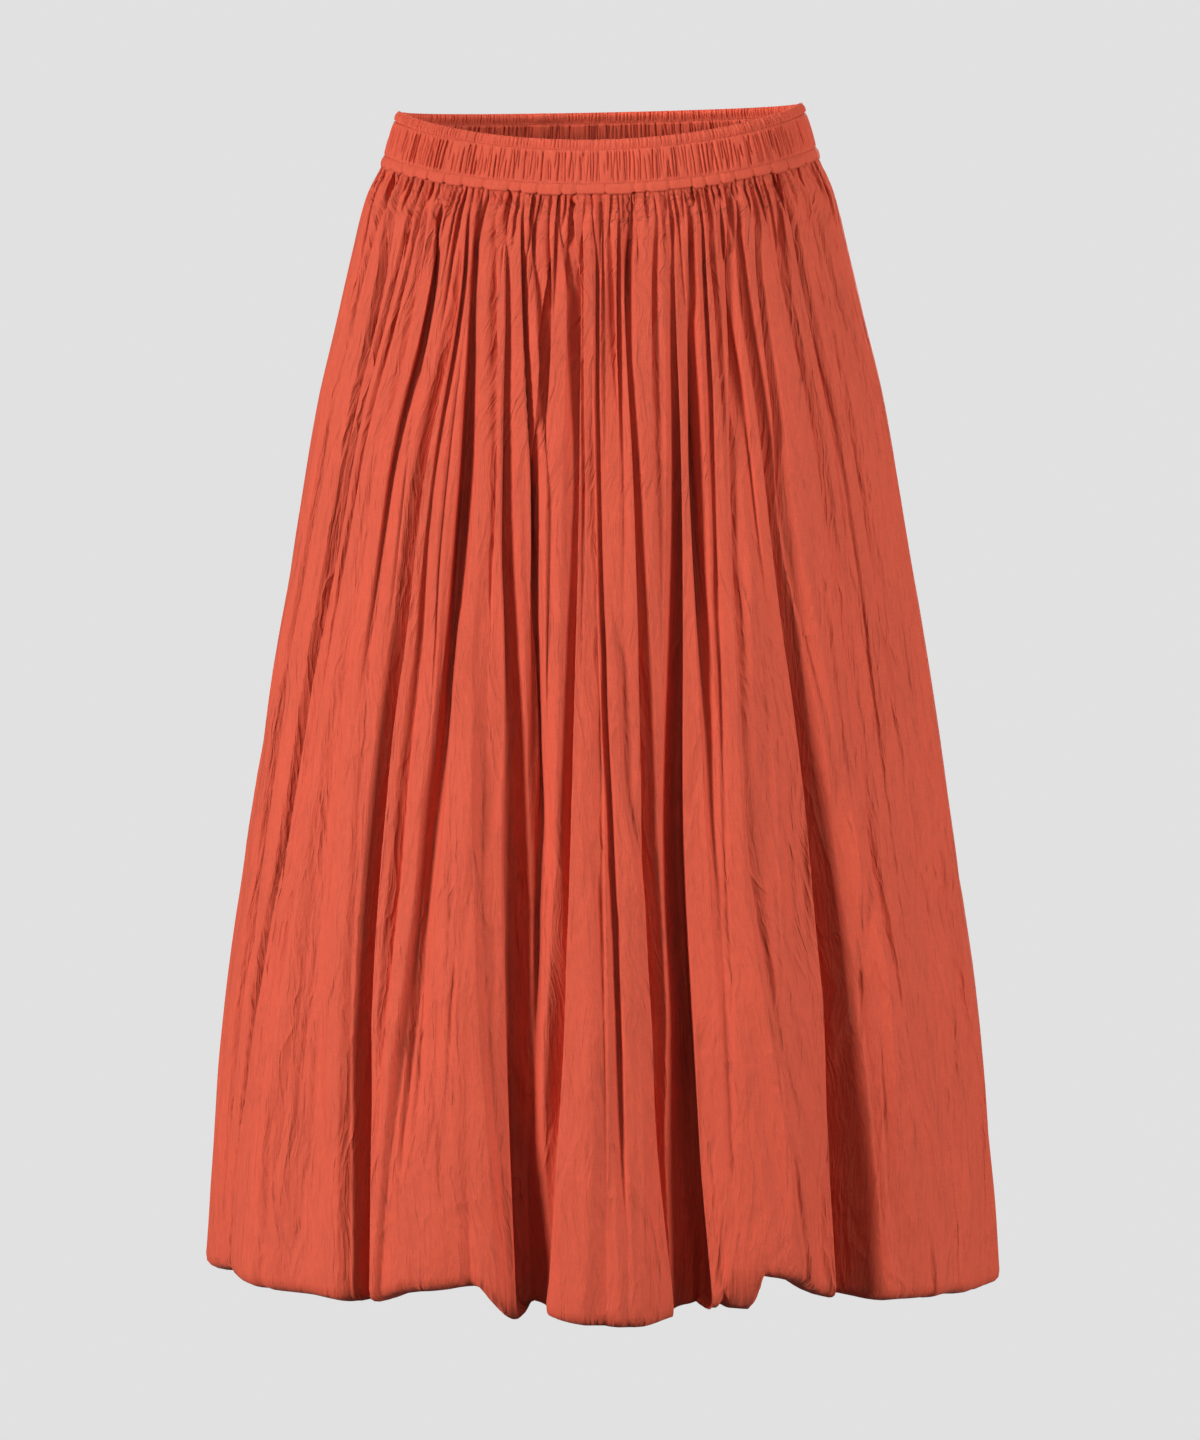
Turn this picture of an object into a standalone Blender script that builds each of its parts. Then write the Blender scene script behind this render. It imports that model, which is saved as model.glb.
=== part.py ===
"""Balloon skirt: a gathered midi skirt on an elastic waistband, with a hem that
turns under and is drawn up to a narrow inner band.

Frame: origin at the centre of the waistband ring, +X to the viewer's right when
the front is seen, the front faces -Y, +Z up.  All sizes are metres.

Every cloth solid is a thin wall.  A ring of the skirt is an ellipse whose half
width and half depth come from SECTIONS; the pleats cut inward from that ring as
troughs, one row for each pleat in FRONT_PLEATS and BACK_PLEATS.
"""
import bpy
import numpy as np
from math import pi

MM = 0.001

# Driving dimensions
CLOTH_WALL = 2.0 * MM
BAND_WALL = 3.0 * MM
SEAM_GAP = 0.3 * MM             # between two sewn pieces
WAIST_SEAM_GAP = 0.45 * MM      # the same at the waist, where the two facet unlike

RIM_HEIGHT = 18.0 * MM          # waistband rim at the side seams, above the origin
SEAM_DROP = 20.0 * MM           # waist seam at the side seams, below the origin
FRONT_DIP = 28.5 * MM           # how much lower the waist lies at centre front
BACK_RISE = 2.0 * MM            # how much higher it lies at centre back
SIDE_TILT = 3.0 * MM            # right side up, left side down
HEM_DROP = 822.0 * MM           # hem line that the lobes' lifts start from
DIP_SHAPE = 1.5                 # above 1 keeps the dip nearer the centre
RING_RATIO = 0.6                # a ring's usual half depth over half width
ARC_STEPS = 361                 # points on half a ring when its arc is measured

TURN_HEIGHT = 18.0 * MM         # height of the rounded hem corner on a lobe
TROUGH_TURN_HEIGHT = 8.0 * MM   # the same in a trough
TROUGH_LIFT = 20.0 * MM         # a trough ends this much above the lobes beside it
TURN_INSET = 72.0 * MM          # the turned-up cloth hangs this far inside the ring
TURN_SQUARENESS = 0.75          # 1 is an ellipse, less is a squarer pouch bottom

HEM_BAND_BOTTOM = 100.0 * MM    # hem band's lower edge, above the hem line
HEM_BAND_HEIGHT = 25.0 * MM

WAIST_TOP_HALF_WIDTH = 144.5 * MM
WAIST_TOP_HALF_DEPTH = 72.0 * MM

# Ring sizes down the skirt.  level: 0 at the waist seam, 1 at the hem.
SECTION_COLUMNS = ("level", "half_width_mm", "half_depth_mm")
SECTIONS = np.array((
    (0.000, 156.0, 90.0),       # waist seam
    (0.029, 168.0, 101.0),      # gathers spring out
    (0.078, 179.0, 110.0),
    (0.147, 192.0, 118.0),      # hip
    (0.215, 205.0, 126.0),
    (0.358, 224.0, 140.0),      # thigh
    (0.501, 242.0, 153.0),
    (0.643, 258.0, 165.0),      # knee
    (0.786, 273.0, 175.0),
    (0.929, 282.0, 181.0),
    (1.000, 285.0, 183.0),      # hem
))

# Levels at which a pleat row gives its place and depth.
PLEAT_LEVELS = np.array((0.0, 0.15, 0.50, 1.0))
SEAM_PLEAT_DEPTH = 2.5 * MM

# One row for each pleat trough.  Places run across a panel seen from its own
# side, -1 at its left side seam and 1 at its right one.  Depths are inward, mm.
# lobe_lift raises the hem of the lobe to the right of the trough, mm.
PLEAT_COLUMNS = ("at_waist", "at_hip", "at_knee", "at_hem",
                 "hip_depth", "knee_depth", "hem_depth", "lobe_lift")
FRONT_PLEATS = np.array((
    (-0.84, -0.90, -0.90, -0.950, 10.0, 16.0, 42.0, 5.0),
    (-0.77, -0.79, -0.78, -0.760, 8.0, 6.0, 3.0, 4.0),
    (-0.57, -0.57, -0.60, -0.620, 10.0, 8.0, 3.0, 2.0),
    (-0.49, -0.48, -0.50, -0.480, 9.0, 16.0, 50.0, 10.0),
    (-0.42, -0.39, -0.38, -0.380, 12.0, 18.0, 4.0, 15.0),
    (-0.34, -0.29, -0.21, -0.145, 9.0, 22.0, 52.0, -2.0),
    (-0.26, -0.20, -0.145, -0.075, 14.0, 12.0, 3.0, -6.0),
    (-0.11, -0.07, -0.08, -0.010, 9.0, 14.0, 4.0, -7.0),
    (0.03, 0.02, 0.02, 0.070, 9.0, 18.0, 4.0, -5.0),
    (0.12, 0.10, 0.11, 0.165, 10.0, 26.0, 52.0, 8.0),
    (0.24, 0.22, 0.20, 0.235, 14.0, 14.0, 3.0, 22.0),
    (0.33, 0.29, 0.26, 0.310, 16.0, 16.0, 4.0, 20.0),
    (0.45, 0.41, 0.36, 0.400, 12.0, 12.0, 5.0, 8.0),
    (0.54, 0.51, 0.50, 0.535, 13.0, 26.0, 52.0, 4.0),
    (0.64, 0.62, 0.62, 0.670, 9.0, 8.0, 4.0, 2.0),
    (0.72, 0.73, 0.74, 0.820, 9.0, 6.0, 3.0, 4.0),
))
BACK_PLEATS = np.array((
    (-0.86, -0.86, -0.83, -0.800, 11.0, 20.0, 50.0, 4.0),
    (-0.76, -0.74, -0.72, -0.690, 8.0, 8.0, 3.0, 3.0),
    (-0.64, -0.63, -0.62, -0.590, 12.0, 10.0, 3.0, 6.0),
    (-0.55, -0.52, -0.50, -0.480, 9.0, 22.0, 52.0, 12.0),
    (-0.43, -0.41, -0.40, -0.390, 13.0, 12.0, 4.0, 9.0),
    (-0.33, -0.31, -0.28, -0.280, 9.0, 8.0, 3.0, 3.0),
    (-0.22, -0.21, -0.20, -0.170, 12.0, 24.0, 50.0, -3.0),
    (-0.12, -0.11, -0.10, -0.080, 10.0, 12.0, 3.0, -5.0),
    (0.00, -0.01, 0.01, 0.020, 14.0, 10.0, 4.0, -2.0),
    (0.10, 0.11, 0.13, 0.150, 9.0, 24.0, 52.0, 7.0),
    (0.21, 0.22, 0.23, 0.260, 12.0, 12.0, 3.0, 13.0),
    (0.32, 0.33, 0.35, 0.370, 9.0, 9.0, 4.0, 10.0),
    (0.44, 0.45, 0.46, 0.490, 13.0, 22.0, 52.0, 2.0),
    (0.55, 0.56, 0.58, 0.600, 9.0, 10.0, 3.0, 0.0),
    (0.67, 0.68, 0.70, 0.700, 12.0, 8.0, 3.0, 3.0),
    (0.80, 0.80, 0.79, 0.780, 9.0, 20.0, 48.0, 6.0),
))

# A trough's mouth, as a share of the way to the next trough, with its limits.
MOUTH_SHARE = 0.26
MOUTH_LEAST = 2.2 * MM
MOUTH_MOST = 8.0 * MM
SHOULDER_FALL = 0.14            # how far the mouth's edge lies down a trough

# Where the mesh has its rows and columns.
OUTER_LEVELS = np.array((0.0, 0.03, 0.09, 0.18, 0.30, 0.44, 0.59, 0.74, 0.88, 1.0))
TURN_ANGLES = np.radians((38.0, 90.0, 142.0, 180.0))
HALF_RING_STEPS = 32

# The waistband's outer face, from the seam up.  share: of its height.
BAND_PROFILE_COLUMNS = ("share", "proud_mm")
BAND_PROFILE = np.array((
    (0.00, 0.4),
    (0.10, 1.2),                # lower stitched strip
    (0.19, 0.0),                # its stitch line
    (0.50, 0.6),                # elastic channel
    (0.83, 0.0),                # header stitch line
    (0.92, 0.7),
    (1.00, 0.0),                # header ridge
))

CLOTH_COLOUR = (0.61, 0.10, 0.06, 1.0)
CLOTH_ROUGHNESS = 0.85


def column(table, names, name):
    """One named column of a table."""
    return table[:, names.index(name)]


def smooth(x, xs, ys):
    """A smooth curve through (xs, ys) that never overshoots: cubic between
    points, with the slope at a point limited by its two neighbours."""
    step = np.diff(xs)
    rise = np.diff(ys) / step
    slope = np.zeros(len(xs))
    same_way = rise[:-1] * rise[1:] > 0
    total = rise[:-1] + rise[1:]
    slope[1:-1][same_way] = (2 * rise[:-1] * rise[1:])[same_way] / total[same_way]
    slope[0] = rise[0]
    slope[-1] = rise[-1]
    i = np.clip(np.searchsorted(xs, x, side="right") - 1, 0, len(xs) - 2)
    t = (x - xs[i]) / step[i]
    keep = ys[i] * (1 + 2 * t) * (1 - t) ** 2 + ys[i + 1] * t * t * (3 - 2 * t)
    turn = slope[i] * t * (1 - t) ** 2 - slope[i + 1] * t * t * (1 - t)
    return keep + turn * step[i]


def half_sizes(level):
    """Half width and half depth of the ring at a level."""
    levels = column(SECTIONS, SECTION_COLUMNS, "level")
    width = smooth(level, levels, column(SECTIONS, SECTION_COLUMNS, "half_width_mm"))
    depth = smooth(level, levels, column(SECTIONS, SECTION_COLUMNS, "half_depth_mm"))
    return width * MM, depth * MM


def angle_across(across):
    """Angle from the panel's centre line, -90 to 90 degrees, whose arc along a
    usual ring is that share of the way to the side seam."""
    angle = np.linspace(-pi / 2, pi / 2, ARC_STEPS)
    speed = np.hypot(np.cos(angle), RING_RATIO * np.sin(angle))
    arc = np.concatenate(([0.0], np.cumsum((speed[1:] + speed[:-1]) / 2)))
    return np.interp(across, 2 * arc / arc[-1] - 1, angle)


def quarter_arc(level):
    """Length of a quarter of the ring at a level, by Ramanujan's formula for an
    ellipse: the metres of one unit across."""
    width, depth = half_sizes(level)
    spread = ((width - depth) / (width + depth)) ** 2
    return pi / 4 * (width + depth) * (1 + 3 * spread / (10 + np.sqrt(4 - 3 * spread)))


def ring_point(angle, width, depth, inset):
    """Point at an angle on an ellipse, moved inward along its normal."""
    x = width * np.sin(angle)
    y = -depth * np.cos(angle)
    normal_x = np.sin(angle) / width
    normal_y = -np.cos(angle) / depth
    size = np.hypot(normal_x, normal_y)
    return x - inset * normal_x / size, y - inset * normal_y / size


def waist_curve(angle):
    """Height that the waistline adds at an angle: dipped in front, raised behind."""
    front = np.clip(np.cos(angle), 0, 1) ** DIP_SHAPE
    back = np.clip(-np.cos(angle), 0, 1) ** DIP_SHAPE
    return SIDE_TILT * np.sin(angle) - FRONT_DIP * front + BACK_RISE * back


def seam_height(angle):
    return waist_curve(angle) - SEAM_DROP


def pleat_rows(pleats, level, levels, names):
    """A pleat table's columns, carried smoothly to one level."""
    rows = np.stack([column(pleats, PLEAT_COLUMNS, name) for name in names], 1)
    return np.array([smooth(np.array([level]), levels, row)[0] for row in rows])


def panel_columns(pleats, level):
    """Places across and depths of a panel's columns at a level.  Each trough has
    its bottom, the two edges of its mouth and the crest that follows it.  A crest
    and the side seam come before the first trough, and the seam after the last."""
    place = pleat_rows(pleats, level, PLEAT_LEVELS, ("at_waist", "at_hip", "at_knee", "at_hem"))
    depth_levels = PLEAT_LEVELS[1:]
    deep = pleat_rows(pleats, max(level, depth_levels[0]), depth_levels,
                      ("hip_depth", "knee_depth", "hem_depth")) * MM
    opened = np.clip(level / depth_levels[0], 0, 1)
    deep = SEAM_PLEAT_DEPTH + (deep - SEAM_PLEAT_DEPTH) * opened
    arc = quarter_arc(level)
    reach = np.diff(np.concatenate(([-1.0], place, [1.0])))
    mouth = np.clip(MOUTH_SHARE * reach * arc, MOUTH_LEAST, MOUTH_MOST) / arc
    across = np.stack((place - mouth[:-1], place, place + mouth[1:], place + reach[1:] / 2), 1)
    depth = np.stack((SHOULDER_FALL * deep, deep, SHOULDER_FALL * deep, 0 * deep), 1)
    first_crest = place[0] - reach[0] / 2
    across = np.concatenate(([-1.0, first_crest], across.ravel(), [1.0]))
    return across, np.concatenate(([0.0, 0.0], depth.ravel(), [0.0]))


def lobe_lifts(pleats):
    """How much the lobe at each column is raised; a trough has its two lobes' mean."""
    lift = column(pleats, PLEAT_COLUMNS, "lobe_lift") * MM
    before = np.concatenate((lift[:1], lift[:-1]))
    middle = (lift + before) / 2
    rows = np.stack((before, middle, lift, lift), 1)
    return np.concatenate((lift[[0, 0]], rows.ravel(), lift[-1:]))


def panel_surface(pleats, facing):
    """Grid of points on a panel's face: rows run down the outside, round the
    hem and up inside to the hem band; columns run across.  Both side edges stop
    half a seam gap short of the plane between the two panels."""
    lift = lobe_lifts(pleats)
    across, hem_depth = panel_columns(pleats, 1.0)
    deepest = column(pleats, PLEAT_COLUMNS, "hem_depth").max() * MM
    share = np.clip(hem_depth / deepest, 0, 1)
    turn = TURN_HEIGHT + (TROUGH_TURN_HEIGHT - TURN_HEIGHT) * share
    bottom = -HEM_DROP + lift + TROUGH_LIFT * share
    rows = []
    for level in OUTER_LEVELS:
        across, depth = panel_columns(pleats, level)
        angle = facing + angle_across(across)
        width, half_depth = half_sizes(level)
        x, y = ring_point(angle, width, half_depth, depth)
        top = seam_height(angle) - WAIST_SEAM_GAP
        rows.append(np.stack((x, y, top + (bottom + turn - top) * level), 1))
    angle = facing + angle_across(across)
    width, half_depth = half_sizes(1.0)
    for swing in TURN_ANGLES:
        out = np.sign(np.cos(swing)) * abs(np.cos(swing)) ** TURN_SQUARENESS
        down = abs(np.sin(swing)) ** TURN_SQUARENESS
        inset = (hem_depth + TURN_INSET) / 2 + (hem_depth - TURN_INSET) / 2 * out
        x, y = ring_point(angle, width, half_depth, inset)
        rows.append(np.stack((x, y, bottom + turn * (1 - down)), 1))
    x, y = ring_point(angle, width, half_depth, TURN_INSET)
    height = np.full_like(x, -HEM_DROP + HEM_BAND_BOTTOM - SEAM_GAP)
    rows.append(np.stack((x, y, height), 1))
    face = np.array(rows)
    face[:, [0, -1], 1] = -np.cos(facing) * SEAM_GAP / 2
    return face


def unit(vectors):
    return vectors / np.maximum(np.linalg.norm(vectors, axis=-1, keepdims=True), 1e-12)


def thickened(face, wall):
    """The panel's inner face: each point moved in along the mean normal of the
    quads around it, further where they turn, so that the wall keeps its width.
    Edge points move only in their seam's plane."""
    along = face[:-1, 1:] + face[1:, 1:] - face[:-1, :-1] - face[1:, :-1]
    down = face[1:, :-1] + face[1:, 1:] - face[:-1, :-1] - face[:-1, 1:]
    quads = unit(np.cross(down, along))
    total = np.zeros_like(face)
    count = np.zeros(face.shape[:2] + (1,))
    for i in (0, 1):
        for j in (0, 1):
            rows = slice(i, face.shape[0] - 1 + i)
            columns = slice(j, face.shape[1] - 1 + j)
            total[rows, columns] += quads
            count[rows, columns] += 1
    normal = total / count
    normal[0, :, 2] = 0
    normal[-1, :, 2] = 0
    normal[:, 0, 1] = 0
    normal[:, -1, 1] = 0
    spread = np.clip(np.linalg.norm(normal, axis=-1, keepdims=True), 0.55, 1)
    return face - unit(normal) * wall / spread


def cloth_material(name):
    """Matte washed cotton in the skirt's red."""
    material = bpy.data.materials.new(name)
    material.use_nodes = True
    shader = material.node_tree.nodes["Principled BSDF"]
    shader.inputs["Base Color"].default_value = CLOTH_COLOUR
    shader.inputs["Roughness"].default_value = CLOTH_ROUGHNESS
    shader.inputs["Metallic"].default_value = 0.0
    return material


def add_object(name, points, quads):
    mesh = bpy.data.meshes.new(name)
    mesh.from_pydata(points.tolist(), [], quads.tolist())
    mesh.materials.append(cloth_material(name))
    mesh.validate()
    made = bpy.data.objects.new(name, mesh)
    bpy.context.scene.collection.objects.link(made)
    return made


def grid_quads(rows, columns, start=0):
    """Quads of a rows x columns grid of points, numbered row by row."""
    index = start + np.arange(rows * columns).reshape(rows, columns)
    return np.stack((index[:-1, :-1], index[1:, :-1], index[1:, 1:], index[:-1, 1:]), -1).reshape(-1, 4)


def strip_quads(outer, inner):
    """Quads between two matching lines of point numbers."""
    return np.stack((outer[:-1], outer[1:], inner[1:], inner[:-1]), -1)


def add_panel(name, pleats, facing):
    """A closed wall between a panel's face and its thickened copy."""
    face = panel_surface(pleats, facing)
    back = thickened(face, CLOTH_WALL)
    rows, columns = face.shape[:2]
    count = rows * columns
    index = np.arange(count).reshape(rows, columns)
    quads = np.concatenate((
        grid_quads(rows, columns),
        grid_quads(rows, columns, count)[:, ::-1],
        strip_quads(index[0], index[0] + count),
        strip_quads(index[-1], index[-1] + count)[:, ::-1],
        strip_quads(index[:, 0], index[:, 0] + count)[:, ::-1],
        strip_quads(index[:, -1], index[:, -1] + count),
    ))
    points = np.concatenate((face.reshape(-1, 3), back.reshape(-1, 3)))
    return add_object(name, points, quads)


def add_ring(name, loops):
    """A closed ring from its section: loops are rings of points, in the order of
    the section's outline, each joined to the next and the last to the first."""
    count = len(loops)
    steps = len(loops[0])
    index = np.arange(count * steps).reshape(count, steps)
    index = np.concatenate((index, index[:1]))
    index = np.concatenate((index, index[:, :1]), 1)
    quads = np.stack((index[:-1, :-1], index[:-1, 1:], index[1:, 1:], index[1:, :-1]), -1)
    return add_object(name, np.concatenate(loops), quads.reshape(-1, 4))


def ring_angles():
    """Evenly spaced angles all round, starting at the left side seam."""
    front = angle_across(np.arange(HALF_RING_STEPS) / HALF_RING_STEPS * 2 - 1)
    return np.concatenate((front, front + pi))


def add_waistband():
    """The elastic waistband: a coned ring that dips in front, with a proud header
    ridge and lower strip on each side of the elastic channel."""
    angle = ring_angles()
    seam_width, seam_depth = half_sizes(np.array(0.0))
    loops = []
    for share, proud in BAND_PROFILE:
        loops.append(band_loop(angle, share, seam_width, seam_depth, proud * MM))
    for share in (1.0, 0.5, 0.0):
        loops.append(band_loop(angle, share, seam_width, seam_depth, -BAND_WALL))
    return add_ring("waistband", loops)


def band_loop(angle, share, seam_width, seam_depth, proud):
    """Ring of points at a share of the waistband's height."""
    width = seam_width + (WAIST_TOP_HALF_WIDTH - seam_width) * share
    depth = seam_depth + (WAIST_TOP_HALF_DEPTH - seam_depth) * share
    x, y = ring_point(angle, width, depth, -proud)
    height = (RIM_HEIGHT + SEAM_DROP) * share
    return np.stack((x, y, seam_height(angle) + height), 1)


def add_hem_band():
    """The plain inner band that holds the turned-up hem."""
    angle = ring_angles()
    width, depth = half_sizes(np.array(1.0))
    low = -HEM_DROP + HEM_BAND_BOTTOM
    loops = []
    for inset, height in ((TURN_INSET - CLOTH_WALL, 0.0), (TURN_INSET - CLOTH_WALL, HEM_BAND_HEIGHT),
                          (TURN_INSET, HEM_BAND_HEIGHT), (TURN_INSET, 0.0)):
        x, y = ring_point(angle, width, depth, inset)
        loops.append(np.stack((x, y, np.full_like(x, low + height)), 1))
    return add_ring("hem_band", loops)


def main():
    for old in list(bpy.data.objects):
        bpy.data.objects.remove(old)
    add_waistband()
    add_panel("front_panel", FRONT_PLEATS, 0.0)
    add_panel("back_panel", BACK_PLEATS, pi)
    add_hem_band()


main()
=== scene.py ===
"""Balloon skirt: the looks of its cloth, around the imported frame.

The skirt is a ring of cloth.  A place on it has two numbers: `around`, which is 0
at the left side seam (seen from the front), 1 at centre front, 2 at the right
side seam, 3 at centre back and 4 at the left seam again; and `level`, 0 at the
waist seam and 1 at the hem.  Pleats are troughs that cut inward from the ring,
each on a path of its own.
"""
from math import pi

import bpy
import numpy as np
from bpy.props import FloatProperty, FloatVectorProperty, IntProperty, PointerProperty
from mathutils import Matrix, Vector


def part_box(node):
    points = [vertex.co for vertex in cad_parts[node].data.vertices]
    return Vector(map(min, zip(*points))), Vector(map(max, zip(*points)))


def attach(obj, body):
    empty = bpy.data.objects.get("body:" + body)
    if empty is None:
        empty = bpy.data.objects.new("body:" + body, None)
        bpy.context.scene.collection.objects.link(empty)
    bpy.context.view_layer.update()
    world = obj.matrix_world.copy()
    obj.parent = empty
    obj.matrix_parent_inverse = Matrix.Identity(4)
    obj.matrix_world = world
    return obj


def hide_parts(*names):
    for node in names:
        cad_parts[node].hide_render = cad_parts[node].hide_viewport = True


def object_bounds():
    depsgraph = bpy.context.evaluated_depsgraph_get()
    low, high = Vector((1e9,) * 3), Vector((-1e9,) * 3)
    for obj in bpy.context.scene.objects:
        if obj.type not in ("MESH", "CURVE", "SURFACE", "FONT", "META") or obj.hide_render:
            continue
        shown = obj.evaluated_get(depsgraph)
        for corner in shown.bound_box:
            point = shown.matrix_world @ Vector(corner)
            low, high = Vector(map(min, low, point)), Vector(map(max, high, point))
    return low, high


bl_info = {
    "name": "Balloon Skirt",
    "version": (1, 0, 0),
    "blender": (4, 5, 0),
    "location": "View3D > Sidebar > Skirt",
    "description": "Builds the cloth of a gathered balloon skirt around its frame",
    "category": "Object",
}

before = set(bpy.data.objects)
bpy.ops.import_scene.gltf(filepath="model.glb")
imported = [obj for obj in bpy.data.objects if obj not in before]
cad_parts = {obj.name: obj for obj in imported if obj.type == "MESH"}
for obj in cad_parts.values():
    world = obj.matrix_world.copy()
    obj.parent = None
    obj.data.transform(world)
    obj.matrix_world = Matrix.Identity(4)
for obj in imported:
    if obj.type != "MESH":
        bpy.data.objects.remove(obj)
CAD_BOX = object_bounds()
PANEL_LOW, PANEL_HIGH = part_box("front_panel")
HEM_BAND_LOW, HEM_BAND_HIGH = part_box("hem_band")

MM = 0.001

# Sizes of the hem and its inner band, read from the frame
HEM_HALF_WIDTH = PANEL_HIGH[0]
HEM_HALF_DEPTH = -PANEL_LOW[1]
LOWEST_LOBE = 7.0 * MM          # how far the lowest lobe hangs below the hem line
HEM_LINE = PANEL_LOW[2] + LOWEST_LOBE
TURN_INSET = HEM_HALF_WIDTH - HEM_BAND_HIGH[0]
HEM_BAND_BOTTOM = HEM_BAND_LOW[2]
HEM_BAND_TOP = HEM_BAND_HIGH[2]
SEAM_GAP = 0.3 * MM
PANEL_TUCK = 0.4 * MM           # how far a panel's top edge reaches up into the waistband

# The waistline, as the frame's waistband has it
SEAM_DROP = 20.0 * MM
BAND_HEIGHT = 38.0 * MM
FRONT_DIP = 28.5 * MM
BACK_RISE = 2.0 * MM
SIDE_TILT = 3.0 * MM
DIP_SHAPE = 1.5
SEAM_HALF_WIDTH = 156.0 * MM
SEAM_HALF_DEPTH = 90.0 * MM
RIM_HALF_WIDTH = 144.5 * MM
RIM_HALF_DEPTH = 72.0 * MM
BAND_WALL = 2.6 * MM
SEAM_QUARTER = 0.197            # metres of the waist seam in one unit around
INNER_JOIN = 3.24               # where around the band's ends are joined, inside
INNER_JOIN_HALF_WIDTH = 0.020   # in units around
INNER_JOIN_PROUD = 1.2 * MM

RING_RATIO = 0.6                # a ring's usual half depth over its half width
ARC_STEPS = 361
FINE_COLUMNS = 6400             # places around at which the folds are worked out
PANEL_COLUMNS = 900
EVEN_SHARE = 0.42               # how far the columns follow the ring, not the folds
DRIFT_ROWS = 7                  # rows over which the columns' drift is evened out

# Ring sizes down the skirt: level, and shares of the hem's half width and half depth
SECTIONS = np.array((
    (0.000, 0.547, 0.492),
    (0.029, 0.589, 0.552),
    (0.078, 0.628, 0.601),
    (0.147, 0.674, 0.645),
    (0.215, 0.719, 0.689),
    (0.358, 0.786, 0.765),
    (0.501, 0.849, 0.836),
    (0.643, 0.905, 0.902),
    (0.786, 0.958, 0.956),
    (0.929, 0.989, 0.989),
    (1.000, 1.000, 1.000),
))

# Pleats, one row each.  Places run from -1 at a panel's left side seam to 1 at
# its right one, at five stations down the skirt; the waist seam's depth is the
# same for all.  Depths and half widths are mm.  lean tips the trough, so that
# the cloth to its right (above 0) or its left (below 0) falls over it.
STATIONS = np.array((0.0, 0.10, 0.28, 0.60, 1.0))
PLACE_COLUMNS = ("at_waist", "at_gather", "at_hip", "at_knee", "at_hem")
DEPTH_COLUMNS = ("gather_depth", "hip_depth", "knee_depth", "hem_depth")
SHAPE_COLUMNS = ("left_width", "right_width", "hem_left", "hem_right", "lean", "hem_lean")
PLEAT_COLUMNS = PLACE_COLUMNS + DEPTH_COLUMNS + SHAPE_COLUMNS
SEAM_PLEAT_DEPTH = 0.5 * MM
SIDE_SEAM_DEPTH = 1.2 * MM
SIDE_SEAM_HALF_WIDTH = 2.5 * MM
SIDE_SEAM_PUCKER = 0.3          # share of the groove's depth that comes and goes
SIDE_SEAM_WAVES = 170           # how closely, in radians from waist to hem
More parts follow.
